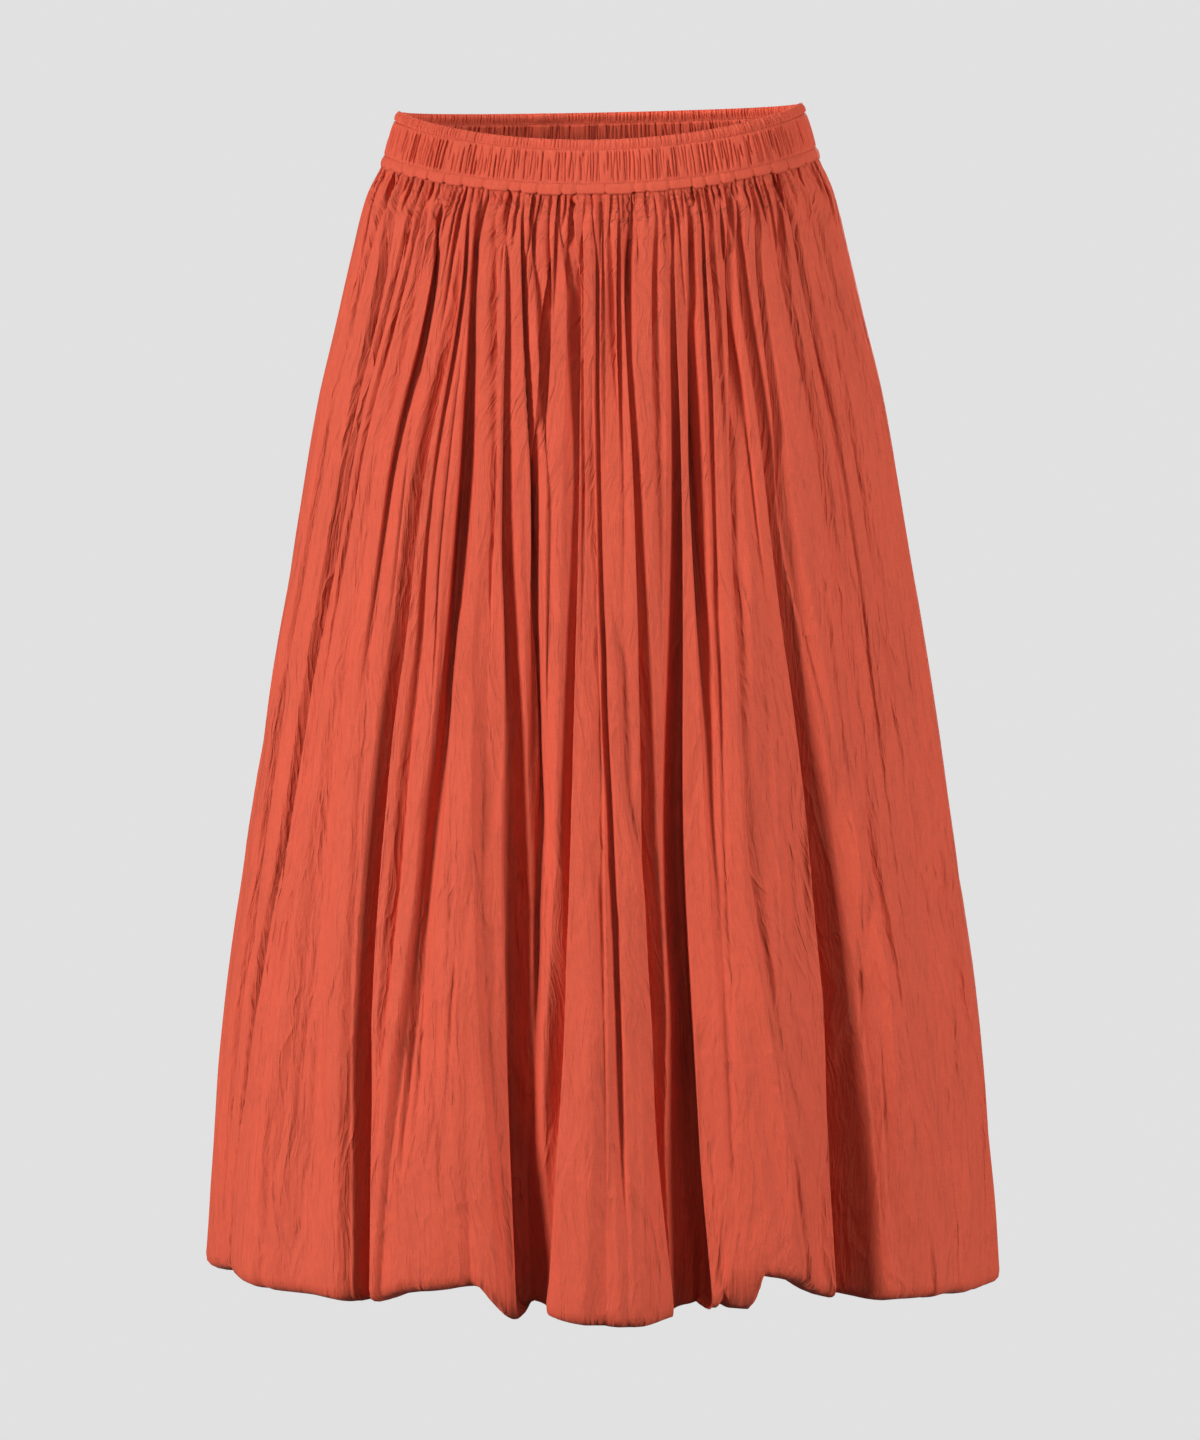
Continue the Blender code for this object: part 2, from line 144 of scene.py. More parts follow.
FRONT_PLEATS = np.array((
    (-0.80, -0.85, -0.885, -0.90, -0.93, 14, 26, 18, 4, 6, 2, 6, 2, 0.2, 0.2),
    (-0.80, -0.77, -0.78, -0.80, -0.875, 12, 18, 34, 46, 5, 2, 9, 3, 0.2, 0.1),
    (-0.66, -0.70, -0.75, -0.78, -0.78, 12, 14, 7, 0, 5, 2, 6, 2, 0.2, 0),
    (-0.62, -0.655, -0.70, -0.72, -0.72, 10, 9, 5, 0, 4, 2, 5, 2, 0.2, 0),
    (-0.60, -0.60, -0.63, -0.64, -0.65, 2, 3, 3, 0, 14, 12, 14, 12, 0, 0),
    (-0.575, -0.535, -0.57, -0.58, -0.58, 12, 6, 0, 0, 2, 10, 2, 10, -0.5, 0),
    (-0.48, -0.445, -0.482, -0.497, -0.463, 6, 14, 28, 36, 9, 2, 10, 3, 0.3, 0.2),
    (-0.45, -0.425, -0.44, -0.452, -0.445, 8, 3, 6, 0, 2, 6, 6, 2, -0.4, 0.3),
    (-0.42, -0.392, -0.36, -0.38, -0.40, 11, 24, 8, 0, 3, 10, 3, 10, -0.3, 0),
    (-0.40, -0.40, -0.39, -0.405, -0.445, 0, -2, -7, -6, 10, 3, 16, 4, 0, 0),
    (-0.36, -0.323, -0.271, -0.262, -0.26, 5, 4, 0, 0, 9, 2, 9, 2, 0.4, 0),
    (-0.32, -0.279, -0.238, -0.195, -0.140, 6, 12, 24, 36, 2, 8, 6, 16, -0.3, -0.3),
    (-0.30, -0.26, -0.19, -0.145, -0.130, 0, 3, 9, 5, 10, 14, 28, 20, 0, 0),
    (-0.265, -0.225, -0.165, -0.136, -0.125, 10, 12, 9, 8, 2, 5, 4, 8, -0.4, -0.2),
    (-0.235, -0.184, -0.127, -0.116, -0.10, 5, 4, 4, 0, 2, 8, 2, 8, -0.5, 0),
    (-0.175, -0.15, -0.14, -0.14, -0.14, 6, 1, 0, 0, 6, 2, 6, 2, 0.3, 0),
    (-0.145, -0.09, -0.08, -0.08, -0.08, 6, 0, 0, 0, 2, 6, 2, 6, -0.4, 0),
    (-0.10, -0.07, -0.071, -0.077, -0.108, 6, 9, 13, 12, 7, 2, 9, 3, 0.4, 0.3),
    (-0.03, -0.025, -0.022, 0.000, 0.01, 0, 6, 5, 1, 13, 2, 12, 2, 0.4, 0.2),
    (-0.03, -0.008, -0.004, 0.022, 0.057, 6, 6, 9, 1, 3, 3, 7, 3, 0.1, 0.1),
    (0.03, 0.042, 0.05, 0.05, 0.05, 5, 0, 0, 0, 6, 2, 6, 2, 0.4, 0),
    (0.066, 0.063, 0.061, 0.06, 0.06, 8, 2, 0, 0, 2, 5, 2, 5, -0.4, 0),
    (0.11, 0.088, 0.10, 0.106, 0.152, 7, 10, 15, 22, 2, 5, 3, 11, -0.4, -0.3),
    (0.195, 0.17, 0.154, 0.15, 0.15, 6, 3, 0, 0, 2, 8, 2, 8, -0.4, 0),
    (0.25, 0.226, 0.204, 0.172, 0.198, 6, 18, 38, 54, 7, 2, 14, 5, 0.3, 0.2),
    (0.16, 0.15, 0.14, 0.145, 0.17, 0, 0, 8, 6, 10, 10, 30, 14, 0, 0),
    (0.315, 0.285, 0.258, 0.25, 0.265, 8, 22, 7, 0, 6, 6, 4, 3, -0.1, 0),
    (0.345, 0.33, 0.30, 0.275, 0.255, 7, 5, 4, 0, 6, 2, 6, 2, 0.4, 0),
    (0.375, 0.365, 0.34, 0.33, 0.33, 5, 1, 0, 0, 2, 7, 2, 7, -0.3, 0),
    (0.447, 0.414, 0.357, 0.32, 0.405, 8, 5, 3, 2, 2, 10, 2, 9, -0.4, -0.3),
    (0.485, 0.454, 0.457, 0.484, 0.502, 8, 14, 36, 54, 2, 9, 5, 26, -0.4, -0.2),
    (0.545, 0.519, 0.495, 0.55, 0.55, 9, 8, 0, 0, 2, 7, 2, 7, -0.4, 0),
    (0.64, 0.605, 0.61, 0.62, 0.61, 8, 5, 3, 0, 2, 8, 2, 10, -0.4, 0),
    (0.675, 0.677, 0.665, 0.65, 0.65, 8, 2, 0, 0, 2, 7, 2, 7, -0.4, 0),
    (0.70, 0.69, 0.74, 0.744, 0.76, 0, 3, 3, 2, 10, 8, 16, 16, 0, 0),
    (0.775, 0.80, 0.86, 0.87, 0.87, 8, 3, 0, 0, 3, 8, 3, 8, -0.4, 0),
    (0.85, 0.87, 0.90, 0.92, 0.94, 6, 5, 3, 1, 3, 8, 4, 8, -0.3, 0),
    (0.84, 0.845, 0.85, 0.865, 0.925, 0, -2, -4, -5, 8, 2, 10, 2, 0.2, 0.2),
    (0.55, 0.55, 0.54, 0.58, 0.685, 0, 0, -6, -7, 10, 8, 20, 14, 0, 0),
    (-0.30, -0.30, -0.31, -0.27, -0.185, 0, 0, -4, -6, 12, 3, 20, 5, 0, 0),
    (-0.66, -0.66, -0.66, -0.68, -0.70, 0, 0, -3, -4, 14, 14, 30, 10, 0, 0),
    (-0.60, -0.60, -0.60, -0.56, -0.515, 0, 0, -4, -5, 14, 4, 24, 6, 0, 0),
    (0.00, 0.00, 0.00, 0.00, -0.03, 0, 0, 0, -4, 12, 12, 24, 14, 0, 0),
    (0.33, 0.33, 0.33, 0.315, 0.425, 0, 0, -2, -5, 8, 2, 12, 3, 0.2, 0.2),
), dtype=float)
BACK_PLEATS = np.array((
    (-0.93, -0.93, -0.92, -0.91, -0.90, 7, 5, 2, 0, 8, 2, 9, 3, 0.4, 0.2),
    (-0.86, -0.86, -0.84, -0.82, -0.80, 8, 12, 28, 46, 3, 6, 8, 18, -0.3, -0.3),
    (-0.79, -0.77, -0.75, -0.73, -0.72, 8, 6, 2, 0, 2, 8, 3, 9, -0.4, 0),
    (-0.72, -0.70, -0.69, -0.67, -0.65, 9, 4, 1, 0, 9, 2, 9, 3, 0.5, 0),
    (-0.64, -0.61, -0.60, -0.58, -0.57, 6, 10, 12, 2, 7, 2, 9, 3, 0.3, 0.2),
    (-0.56, -0.54, -0.51, -0.49, -0.48, 8, 12, 34, 52, 6, 2, 20, 6, 0.3, 0.3),
    (-0.47, -0.46, -0.45, -0.43, -0.42, 7, 4, 1, 0, 2, 9, 3, 9, -0.4, 0),
    (-0.40, -0.38, -0.37, -0.36, -0.36, 10, 20, 9, 2, 3, 9, 4, 9, -0.3, 0),
    (-0.36, -0.35, -0.34, -0.35, -0.37, 0, -2, -4, -4, 8, 10, 14, 14, 0, 0),
    (-0.32, -0.30, -0.28, -0.27, -0.28, 7, 3, 0, 0, 8, 2, 9, 2, 0.5, 0),
    (-0.24, -0.22, -0.20, -0.18, -0.165, 8, 14, 34, 50, 2, 6, 8, 19, -0.3, -0.3),
    (-0.16, -0.14, -0.13, -0.11, -0.10, 9, 5, 3, 0, 2, 8, 2, 9, -0.4, 0),
    (-0.09, -0.07, -0.06, -0.05, -0.03, 6, 9, 12, 3, 9, 3, 9, 4, 0.3, 0.2),
    (-0.01, 0.00, 0.01, 0.03, 0.04, 10, 4, 1, 0, 8, 2, 9, 2, 0.5, 0),
    (0.06, 0.07, 0.08, 0.09, 0.09, 7, 5, 2, 0, 2, 9, 2, 9, -0.4, 0),
    (0.12, 0.14, 0.14, 0.15, 0.155, 8, 15, 36, 52, 5, 2, 20, 6, 0.3, 0.3),
    (0.21, 0.22, 0.22, 0.23, 0.24, 8, 4, 1, 0, 9, 2, 9, 3, 0.5, 0),
    (0.28, 0.29, 0.30, 0.31, 0.33, 9, 18, 12, 2, 3, 7, 4, 9, -0.3, 0),
    (0.36, 0.37, 0.38, 0.40, 0.41, 7, 4, 2, 0, 2, 9, 3, 9, -0.4, 0),
    (0.43, 0.45, 0.46, 0.48, 0.49, 9, 12, 32, 50, 2, 6, 9, 18, -0.3, -0.3),
    (0.52, 0.53, 0.54, 0.56, 0.58, 8, 4, 1, 0, 9, 2, 9, 3, 0.4, 0),
    (0.61, 0.62, 0.63, 0.65, 0.66, 7, 6, 9, 2, 3, 8, 4, 9, -0.3, 0),
    (0.64, 0.66, 0.68, 0.70, 0.71, 0, 0, -2, -3, 10, 14, 12, 16, 0, 0),
    (0.70, 0.71, 0.72, 0.73, 0.74, 8, 4, 1, 0, 2, 9, 3, 9, -0.4, 0),
    (0.79, 0.80, 0.79, 0.80, 0.785, 8, 11, 30, 46, 6, 2, 18, 6, 0.3, 0.3),
    (0.90, 0.90, 0.91, 0.91, 0.92, 7, 5, 2, 0, 8, 2, 9, 3, 0.4, 0.2),
), dtype=float)
SHOULDER_SHARE = 0.22           # a trough's wide, soft shoulder, as a share of its depth
SHOULDER_SPREAD = 32.0 * MM     # how far the shoulder spreads to each side
SHOULDER_REACH = 2.2            # how many spreads from the trough it is still worked out
NO_DEPTH = 0.01 * MM            # a fold is left out where it is shallower than this
PLEAT_LIP = 1.0 * MM            # how softly a pleat's edges and bottom are rounded
SEAM_WIDTH_SHARE = 0.35         # a pleat's width at the waist seam, over that at the hip
GATHER_WIDTH_SHARE = 0.6        # and its width at the gathers
SHALLOW_GAIN = 0.2              # how much more than their row's depth the shallow pleats take
SHALLOW_DEPTHS = (12.0 * MM, 26.0 * MM)     # the gain fades out between these depths
FLOOR_FLATNESS = 0.95           # how much flatter than a crease a deep trough's floor is
FLAT_FLOOR_DEPTHS = (15.0 * MM, 40.0 * MM)  # the floor flattens between these depths

# Bundles of thin, shallow ridges that run down some lobes, one row each: from and
# to around, top and bottom level, how many ridges, and their height (mm)
RIDGES = np.array((
    (0.14, 0.30, 0.60, 0.99, 9, 1.6),
    (1.80, 1.95, 0.35, 0.96, 8, 1.5),
    (1.56, 1.70, 0.50, 1.00, 9, 1.7),
    (1.36, 1.48, 0.80, 1.00, 6, 1.6),
    (0.56, 0.78, 0.55, 0.98, 9, 1.5),
    (2.20, 2.36, 0.50, 1.00, 8, 0.9),
    (3.52, 3.70, 0.45, 0.98, 8, 0.9),
), dtype=float)

# Creases of the whole skirt: the spans of their depths (mm), widths (mm) and
# lengths (in levels), and the level above which they are fainter
LONG_CREASES = ((1.4, 4.8), (8.0, 30.0), (0.16, 0.55), 0.50)
SHORT_CREASES = ((0.4, 1.2), (3.0, 8.0), (0.06, 0.22), 0.40)
PROUD_CREASES = 0.33            # share of the creases that stand proud
PROUD_DEPTH = -0.7              # and their depth, over a sunken crease's
SEAM_CALM = 0.5                 # how much fainter creases are at the side seams
SEAM_CALM_REACH = 0.3           # how far from a seam that reaches, in units around

# How far (mm) the hem's lobes are raised above the hem line, round the ring
HEM_LIFTS = np.array((
    (0.00, 4), (0.08, 8), (0.16, 9), (0.22, 7), (0.40, 7), (0.50, 5), (0.56, 7), (0.62, 14),
    (0.70, 18), (0.74, 20), (0.78, 19), (0.81, 12), (0.84, 2), (0.87, 1), (0.90, -1), (0.94, -3),
    (1.08, -7), (1.14, -4), (1.19, -2), (1.225, 4), (1.25, 24), (1.30, 27), (1.35, 25), (1.40, 20),
    (1.46, 8), (1.52, 4), (1.60, 3), (1.72, 1), (1.86, -3), (1.95, -1), (2.00, 2), (2.20, 4),
    (2.34, 8), (2.50, 3), (2.66, 14), (2.84, -3), (3.00, -5), (3.16, 2), (3.32, 12), (3.50, 4),
    (3.64, 8), (3.80, 3), (4.00, 4),
), dtype=float)

# How far (mm) the turned-in cloth hangs below the hem's own fold, round the ring
HEM_DIPS = np.array((
    (0.00, 0), (0.09, 0), (0.12, 6), (0.15, 7), (0.17, 0), (0.77, 0), (0.79, 8), (0.82, 11),
    (0.85, 3), (0.88, 0), (1.22, 0), (1.235, 9), (1.25, 20), (1.265, 23), (1.300, 25),
    (1.312, 18), (1.320, 0), (2.40, 0), (2.44, 14), (2.50, 10), (2.54, 0), (3.60, 0),
    (3.63, 16), (3.68, 10), (3.70, 0), (4.00, 0),
), dtype=float)
DEEP_TROUGH = 50.0 * MM         # depth of a trough that has the whole of the next two
TROUGH_LIFT = 4.0 * MM          # how much higher the hem is in a trough
TROUGH_TURN_HEIGHT = 6.0 * MM   # height of the hem's turn in a trough
TURN_HEIGHT = 12.0 * MM         # height of the hem's turn on a lobe
TURN_SQUARENESS = 0.62          # 1 for a round turn, less for a squarer one
TURN_SWINGS = np.radians(np.linspace(14, 180, 11))  # the rows of the turn, as angles
FACING_ROWS = 5                 # rows of the turned-in cloth, from the turn to the hem band
FACING_RIPPLE = 3.0 * MM        # height of that cloth's ripples at the hem band
FACING_RIPPLES = 23             # and how many there are in one unit around

# The waistband's outer face: height above the seam as a share, and proud (mm)
BAND_FACE = np.array((
    (0.00, 0.2), (0.03, 0.9), (0.09, 1.3), (0.16, 1.1), (0.19, -0.4), (0.22, 0.6),
    (0.35, 1.0), (0.50, 1.1), (0.68, 1.0), (0.80, 0.6), (0.83, -0.8), (0.86, 0.7),
    (0.92, 1.2), (0.97, 0.9), (1.00, 0.0),
))
LOWER_STITCHES = 0.19           # shares of the band's height
UPPER_STITCHES = 0.83
STRIP_TOP = (0.15, 0.20)        # the lower strip ends between these shares
TAB_PROUD = 1.3                 # mm that a tab stands out from the tucks beside it
TAB_PROUD_SPREAD = 0.8          # mm by which tabs differ in that
TAB_DROP = 1.0                  # mm that a tab hangs lower than a tuck
TAB_DROP_SPREAD = 1.4           # mm by which tabs differ in that
TUCK_RISE = 0.4                 # mm that a tuck is drawn up above the seam
RIM_ROLL = 0.9 * MM             # how far the rim rises above the two faces
RIM_SWINGS = np.radians((35.0, 70.0, 110.0, 145.0))
BAND_CLOTH = 1.05               # metres of the band's strip before it is gathered
BAND_COLUMNS = 2200
HEM_BAND_COLUMNS = 720
HEM_BAND_QUARTER = 0.26         # metres of the hem band in one unit around
HEM_BAND_ROW = 0.0125           # metres of it from one corner of its section to the next
HEM_BAND_RIPPLE = 0.4 * MM
HEM_BAND_RIPPLES = 40           # in one unit around
STITCH_HALF = 1.3 * MM
STITCH_RADIUS = 0.30 * MM

# Lines of stitching: height as a share, proud, how many stitches, and where the
# first one lies (in stitches).  The last two lines are on the inside.
INNER_STITCH_PROUD = -BAND_WALL - 1.2 * MM
STITCH_LINES = (
    (LOWER_STITCHES, 0.35 * MM, 236, 0.0),
    (UPPER_STITCHES, 0.30 * MM, 214, 0.3),
    (LOWER_STITCHES, INNER_STITCH_PROUD, 236, 0.5),
    (UPPER_STITCHES, INNER_STITCH_PROUD, 214, 0.8),
)

AMBIENT = 0.14                  # share of the surround's brightness that lights the skirt
FLOOR_DROP = 0.20               # metres from the hem down to the floor
CAMERA_PLACE = (0.0, -3.2, -0.25)
CAMERA_AIM = (0.0, 0.0, -0.419)
CAMERA_LENS = 111.5             # mm

# Lights: name, place, target, width (m) and power (W)
SKIRT_MIDDLE = (0.0, 0.0, -0.42)
LIGHTS = (
    ("key_light", (-2.9, -1.8, 0.2), SKIRT_MIDDLE, 1.2, 129),
    ("fill_light", (2.9, -1.8, 0.0), SKIRT_MIDDLE, 1.4, 89),
    ("top_light", (0.0, -1.6, 2.2), (0.0, 0.0, -0.05), 1.2, 16),
    ("inner_light", (0.0, -0.05, 0.13), (0.0, 0.07, 0.0), 0.12, 0.16),
    ("back_light", (0.6, 2.8, 0.8), SKIRT_MIDDLE, 1.8, 110),
)


class SkirtSettings(bpy.types.PropertyGroup):
    """What a user would change on the skirt."""

    gathers: IntProperty(
        name="Gathers", description="Fine gathers along one panel's waist seam",
        default=104, min=10, max=200)
    small_pleats: IntProperty(
        name="Small pleats", description="Pleats of one panel that fade out at the hip or the knee",
        default=14, min=0, max=100)
    creases: IntProperty(
        name="Creases", description="Shallow creases all over the cloth, on both panels",
        default=550, min=0, max=2000)
    band_gathers: IntProperty(
        name="Waistband gathers", description="Gathers in the elastic waistband, all round",
        default=340, min=20, max=400)
    seed: IntProperty(
        name="Seed", description="Chooses one set of gathers and creases",
        default=11, min=0)
    cloth_width: FloatProperty(
        name="Panel width", description="Width of one panel's cloth before it is gathered",
        default=1.1, unit="LENGTH")
    cloth_length: FloatProperty(
        name="Panel length", description="Length of a panel's cloth from waist seam to hem band",
        default=0.96, unit="LENGTH")
    cloth_colour: FloatVectorProperty(
        name="Cloth colour", description="Colour of the washed cotton",
        subtype="COLOR", size=3, default=(0.575, 0.070, 0.029), min=0, max=1)
    backdrop_colour: FloatVectorProperty(
        name="Backdrop", description="Colour of the floor and backdrop",
        subtype="COLOR", size=3, default=(0.752, 0.752, 0.752), min=0, max=1)


def smooth_rows(x, xs, rows):
    """Smooth curves through each row of values at xs, read at every x: cubic
    between points, with slopes that never overshoot.  Gives rows by x."""
    rows = np.atleast_2d(rows)
    step = np.diff(xs)
    rise = np.diff(rows, axis=1) / step
    product = rise[:, :-1] * rise[:, 1:]
    total = rise[:, :-1] + rise[:, 1:]
    slope = np.zeros_like(rows)
    slope[:, 1:-1] = np.where(product > 0, 2 * product / np.where(total == 0, 1, total), 0)
    slope[:, 0] = rise[:, 0]
    slope[:, -1] = rise[:, -1]
    i = np.clip(np.searchsorted(xs, x, side="right") - 1, 0, len(xs) - 2)
    t = (x - xs[i]) / step[i]
    keep = rows[:, i] * (1 + 2 * t) * (1 - t) ** 2 + rows[:, i + 1] * t * t * (3 - 2 * t)
    turn = slope[:, i] * t * (1 - t) ** 2 - slope[:, i + 1] * t * t * (1 - t)
    return keep + turn * step[i]


def smoothstep(x, low, high):
    """0 below low, 1 above high, and a soft step between."""
    t = np.clip((x - low) / (high - low), 0, 1)
    return t * t * (3 - 2 * t)


def half_sizes(level):
    """Half width and half depth of the ring at each level."""
    width, depth = smooth_rows(np.atleast_1d(level), SECTIONS[:, 0], SECTIONS[:, 1:].T)
    return width * HEM_HALF_WIDTH, depth * HEM_HALF_DEPTH


def ring_angle(around):
    """Angle about +Z from centre front, so that equal steps around are equal
    arcs of a usual ring."""
    angle = np.linspace(-pi / 2, pi / 2, ARC_STEPS)
    speed = np.hypot(np.cos(angle), RING_RATIO * np.sin(angle))
    arc = np.concatenate(([0.0], np.cumsum((speed[1:] + speed[:-1]) / 2)))
    half = np.floor(around / 2)
    within = around - 2 * half
    return np.interp(within, 2 * arc / arc[-1], angle) + half * pi


def quarter_arc(width, depth):
    """A quarter of an ellipse's length, by Ramanujan's formula: the metres of
    one unit around."""
    spread = ((width - depth) / (width + depth)) ** 2
    return pi / 4 * (width + depth) * (1 + 3 * spread / (10 + np.sqrt(4 - 3 * spread)))


def seam_height(angle):
    """Height of the waist seam: dipped in front, raised behind and tilted a little."""
    front = np.clip(np.cos(angle), 0, 1) ** DIP_SHAPE
    back = np.clip(-np.cos(angle), 0, 1) ** DIP_SHAPE
    return SIDE_TILT * np.sin(angle) - FRONT_DIP * front + BACK_RISE * back - SEAM_DROP


def ring_points(angle, width, depth, inset, slide, height):
    """Points on ellipses, (width sin a, -depth cos a), moved inward by inset along
    the ellipse's normal and sideways by slide along its tangent."""
    normal_x = np.sin(angle) / width
    normal_y = -np.cos(angle) / depth
    size = np.hypot(normal_x, normal_y)
    normal_x = normal_x / size
    normal_y = normal_y / size
    x = width * np.sin(angle) - inset * normal_x - slide * normal_y
    y = -depth * np.cos(angle) - inset * normal_y + slide * normal_x
    return np.stack((x, y, height + 0 * x), -1)


def wrapped(distance):
    """A distance around the ring, brought within half a turn either way."""
    return (distance + 2) % 4 - 2


class Folds:
    """A set of troughs.  place is a row for each fold and a column for each
    level, as are depth, left and right (half widths) and lean.  lip is how
    softly a fold's edges and bottom are rounded, and floor how flat and wide its
    bottom is: 1 for a crease, more for a trough with steep walls."""

    def __init__(self, place, depth, left, right, lean, lip, shoulder=0.0, floor=None):
        self.place = place
        self.depth = depth
        self.left = left
        self.right = right
        self.lean = lean + 0 * place
        self.lip = lip
        self.shoulder = shoulder
        self.floor = np.ones(len(place)) if floor is None else floor

    def add_to(self, inset, slide, around, arc):
        """Adds every fold to the inset, and lean times it to the slide.  Across, a
        fold is depth * w**2 / (w + lip / half) * (1 + lip / half), where w falls
        evenly from 1 at its bottom to 0 at its half width: two flat facets that
        meet in a crease, each with its own width.  A floor above 1 turns that into
        1 - (1 - fold)**floor.  A shoulder is a share of the trough spread far wider,
        as a bell."""
        for k in range(len(self.place)):
            rows = np.flatnonzero(np.abs(self.depth[k]) > NO_DEPTH)
            if not len(rows):
                continue
            offset = wrapped(around[None, :] - self.place[k][rows, None])
            widest = max(self.left[k].max(), self.right[k].max())
            if self.shoulder:
                widest = max(widest, SHOULDER_REACH * SHOULDER_SPREAD)
            near = np.flatnonzero((np.abs(offset) < widest / arc.min()).any(0))
            offset = offset[:, near] * arc[rows, None]
            half = np.where(offset < 0, self.left[k][rows, None], self.right[k][rows, None])
            lip = self.lip / half
            within = np.clip(1 + lip - np.hypot(offset / half, lip), 0, 1)
            shape = within ** 2 / (within + lip) * (1 + lip)
            shape = 1 - np.clip(1 - shape, 0, 1) ** self.floor[k]
            if self.shoulder:
                soft = np.exp(-(offset / SHOULDER_SPREAD) ** 2)
                shape = (1 - self.shoulder) * shape + self.shoulder * soft
            cut = self.depth[k][rows, None] * shape
            block = np.ix_(rows, near)
            inset[block] += cut
            slide[block] += self.lean[k][rows, None] * cut


def placed_pleats(level):
    """The listed pleats of both panels, as folds on the ring."""
    pleats = np.concatenate((FRONT_PLEATS, BACK_PLEATS))
    centre = np.concatenate((np.full(len(FRONT_PLEATS), 1.0), np.full(len(BACK_PLEATS), 3.0)))
    column = {name: pleats[:, i] for i, name in enumerate(PLEAT_COLUMNS)}
    places = np.stack([column[name] for name in PLACE_COLUMNS], 1) + centre[:, None]
    depths = np.stack([column[name] for name in DEPTH_COLUMNS], 1) * MM
    shallow = 1 - smoothstep(depths.max(1, keepdims=True), *SHALLOW_DEPTHS)
    depths = depths * (1 + SHALLOW_GAIN * shallow)
    depths = np.concatenate((np.full((len(pleats), 1), SEAM_PLEAT_DEPTH), depths), 1)
    halves = []
    for side in ("left", "right"):
        top = column[side + "_width"]
        hem = column["hem_" + side]
        widths = np.stack((SEAM_WIDTH_SHARE * top, GATHER_WIDTH_SHARE * top, top,
                           (top + hem) / 2, hem), 1)
        halves.append(smooth_rows(level, STATIONS, widths * MM))
    leans = np.stack((column["lean"],) * 3 + (column["hem_lean"],) * 2, 1)
    floor = 1 + FLOOR_FLATNESS * smoothstep(depths.max(1), *FLAT_FLOOR_DEPTHS)
    place, depth, lean = (smooth_rows(level, STATIONS, rows) for rows in (places, depths, leans))
    return Folds(place, depth, halves[0], halves[1], lean, PLEAT_LIP, SHOULDER_SHARE, floor)


def gather_folds(level, count, seed):
    """The fine gathers that spring from the waist seam: unevenly spaced, most of
    them gone within a hand's width, with small kinks just under the seam."""
    draw = np.random.default_rng(seed)
    gaps = draw.uniform(0.5, 1.5, count)
    place = np.cumsum(gaps) / gaps.sum() * 4
    length = 0.020 + 0.16 * draw.random(count) ** 2.2
    deepest = draw.uniform(2.0, 5.5, count) * MM
    wander = draw.normal(0, 0.006, count)
    kink = draw.normal(0, 0.0018, count) * (draw.random(count) < 0.5)
    turns = draw.uniform(1.5, 4.0, count)
    phase = draw.uniform(0, 2 * pi, count)
    down = level[None, :] / length[:, None]
    bend = np.sin(2 * pi * turns[:, None] * level / 0.035 + phase[:, None]) * np.exp(-level / 0.022)
    path = place[:, None] + wander[:, None] * down + kink[:, None] * bend
    fade = 1 - smoothstep(down, 0.3, 1.0)
    depth = deepest[:, None] * (0.35 + 0.65 * smoothstep(level, 0, 0.012)) * fade
    narrow = (1.0 + 1.0 * np.minimum(level / 0.08, 1)) * MM
    flat = narrow * draw.uniform(1.4, 3.4, count)[:, None]
    flip = (draw.random(count) < 0.5)[:, None]
    lean = np.where(flip, 1, -1) * draw.uniform(0.0, 0.6, count)[:, None]
    return Folds(path, depth, np.where(flip, flat, narrow), np.where(flip, narrow, flat),
                 lean, 0.3 * MM)


def small_pleats(level, count, seed):
    """Pleats that run down from the gathers and fade out at the hip or the knee:
    steep on one side, with a long slope on the other."""
    draw = np.random.default_rng(seed)
    place = (np.arange(count) + draw.uniform(0.1, 0.9, count)) / count * 4
    end = draw.uniform(0.25, 0.85, count)
    wander = draw.normal(0, 0.012, count)
    wave = draw.normal(0, 0.002, count)
    phase = draw.uniform(0, 2 * pi, count)
    deepest = draw.uniform(2.0, 5.5, count) * MM
    path = place[:, None] + wander[:, None] * level
    path = path + wave[:, None] * np.sin(7 * level[None, :] + phase[:, None])
    fade = smoothstep(level, 0.0, 0.05) * (1 - smoothstep(level[None, :] / end[:, None], 0.45, 1.0))
    steep = draw.uniform(1.0, 1.8, count)[:, None] * (0.5 + 0.5 * smoothstep(level, 0, 0.15)) * MM
    slope = steep * draw.uniform(3.0, 7.0, count)[:, None]
    flip = (draw.random(count) < 0.5)[:, None]
    lean = np.where(flip, 1, -1) * draw.uniform(0.0, 0.8, count)[:, None]
    return Folds(path, deepest[:, None] * fade, np.where(flip, slope, steep),
                 np.where(flip, steep, slope), lean, 0.6 * MM)


def zigzag(x):
    """A wave of straight runs between -1 and 1, with a period of 2."""
    return 2 * np.abs(x % 2 - 1) - 1


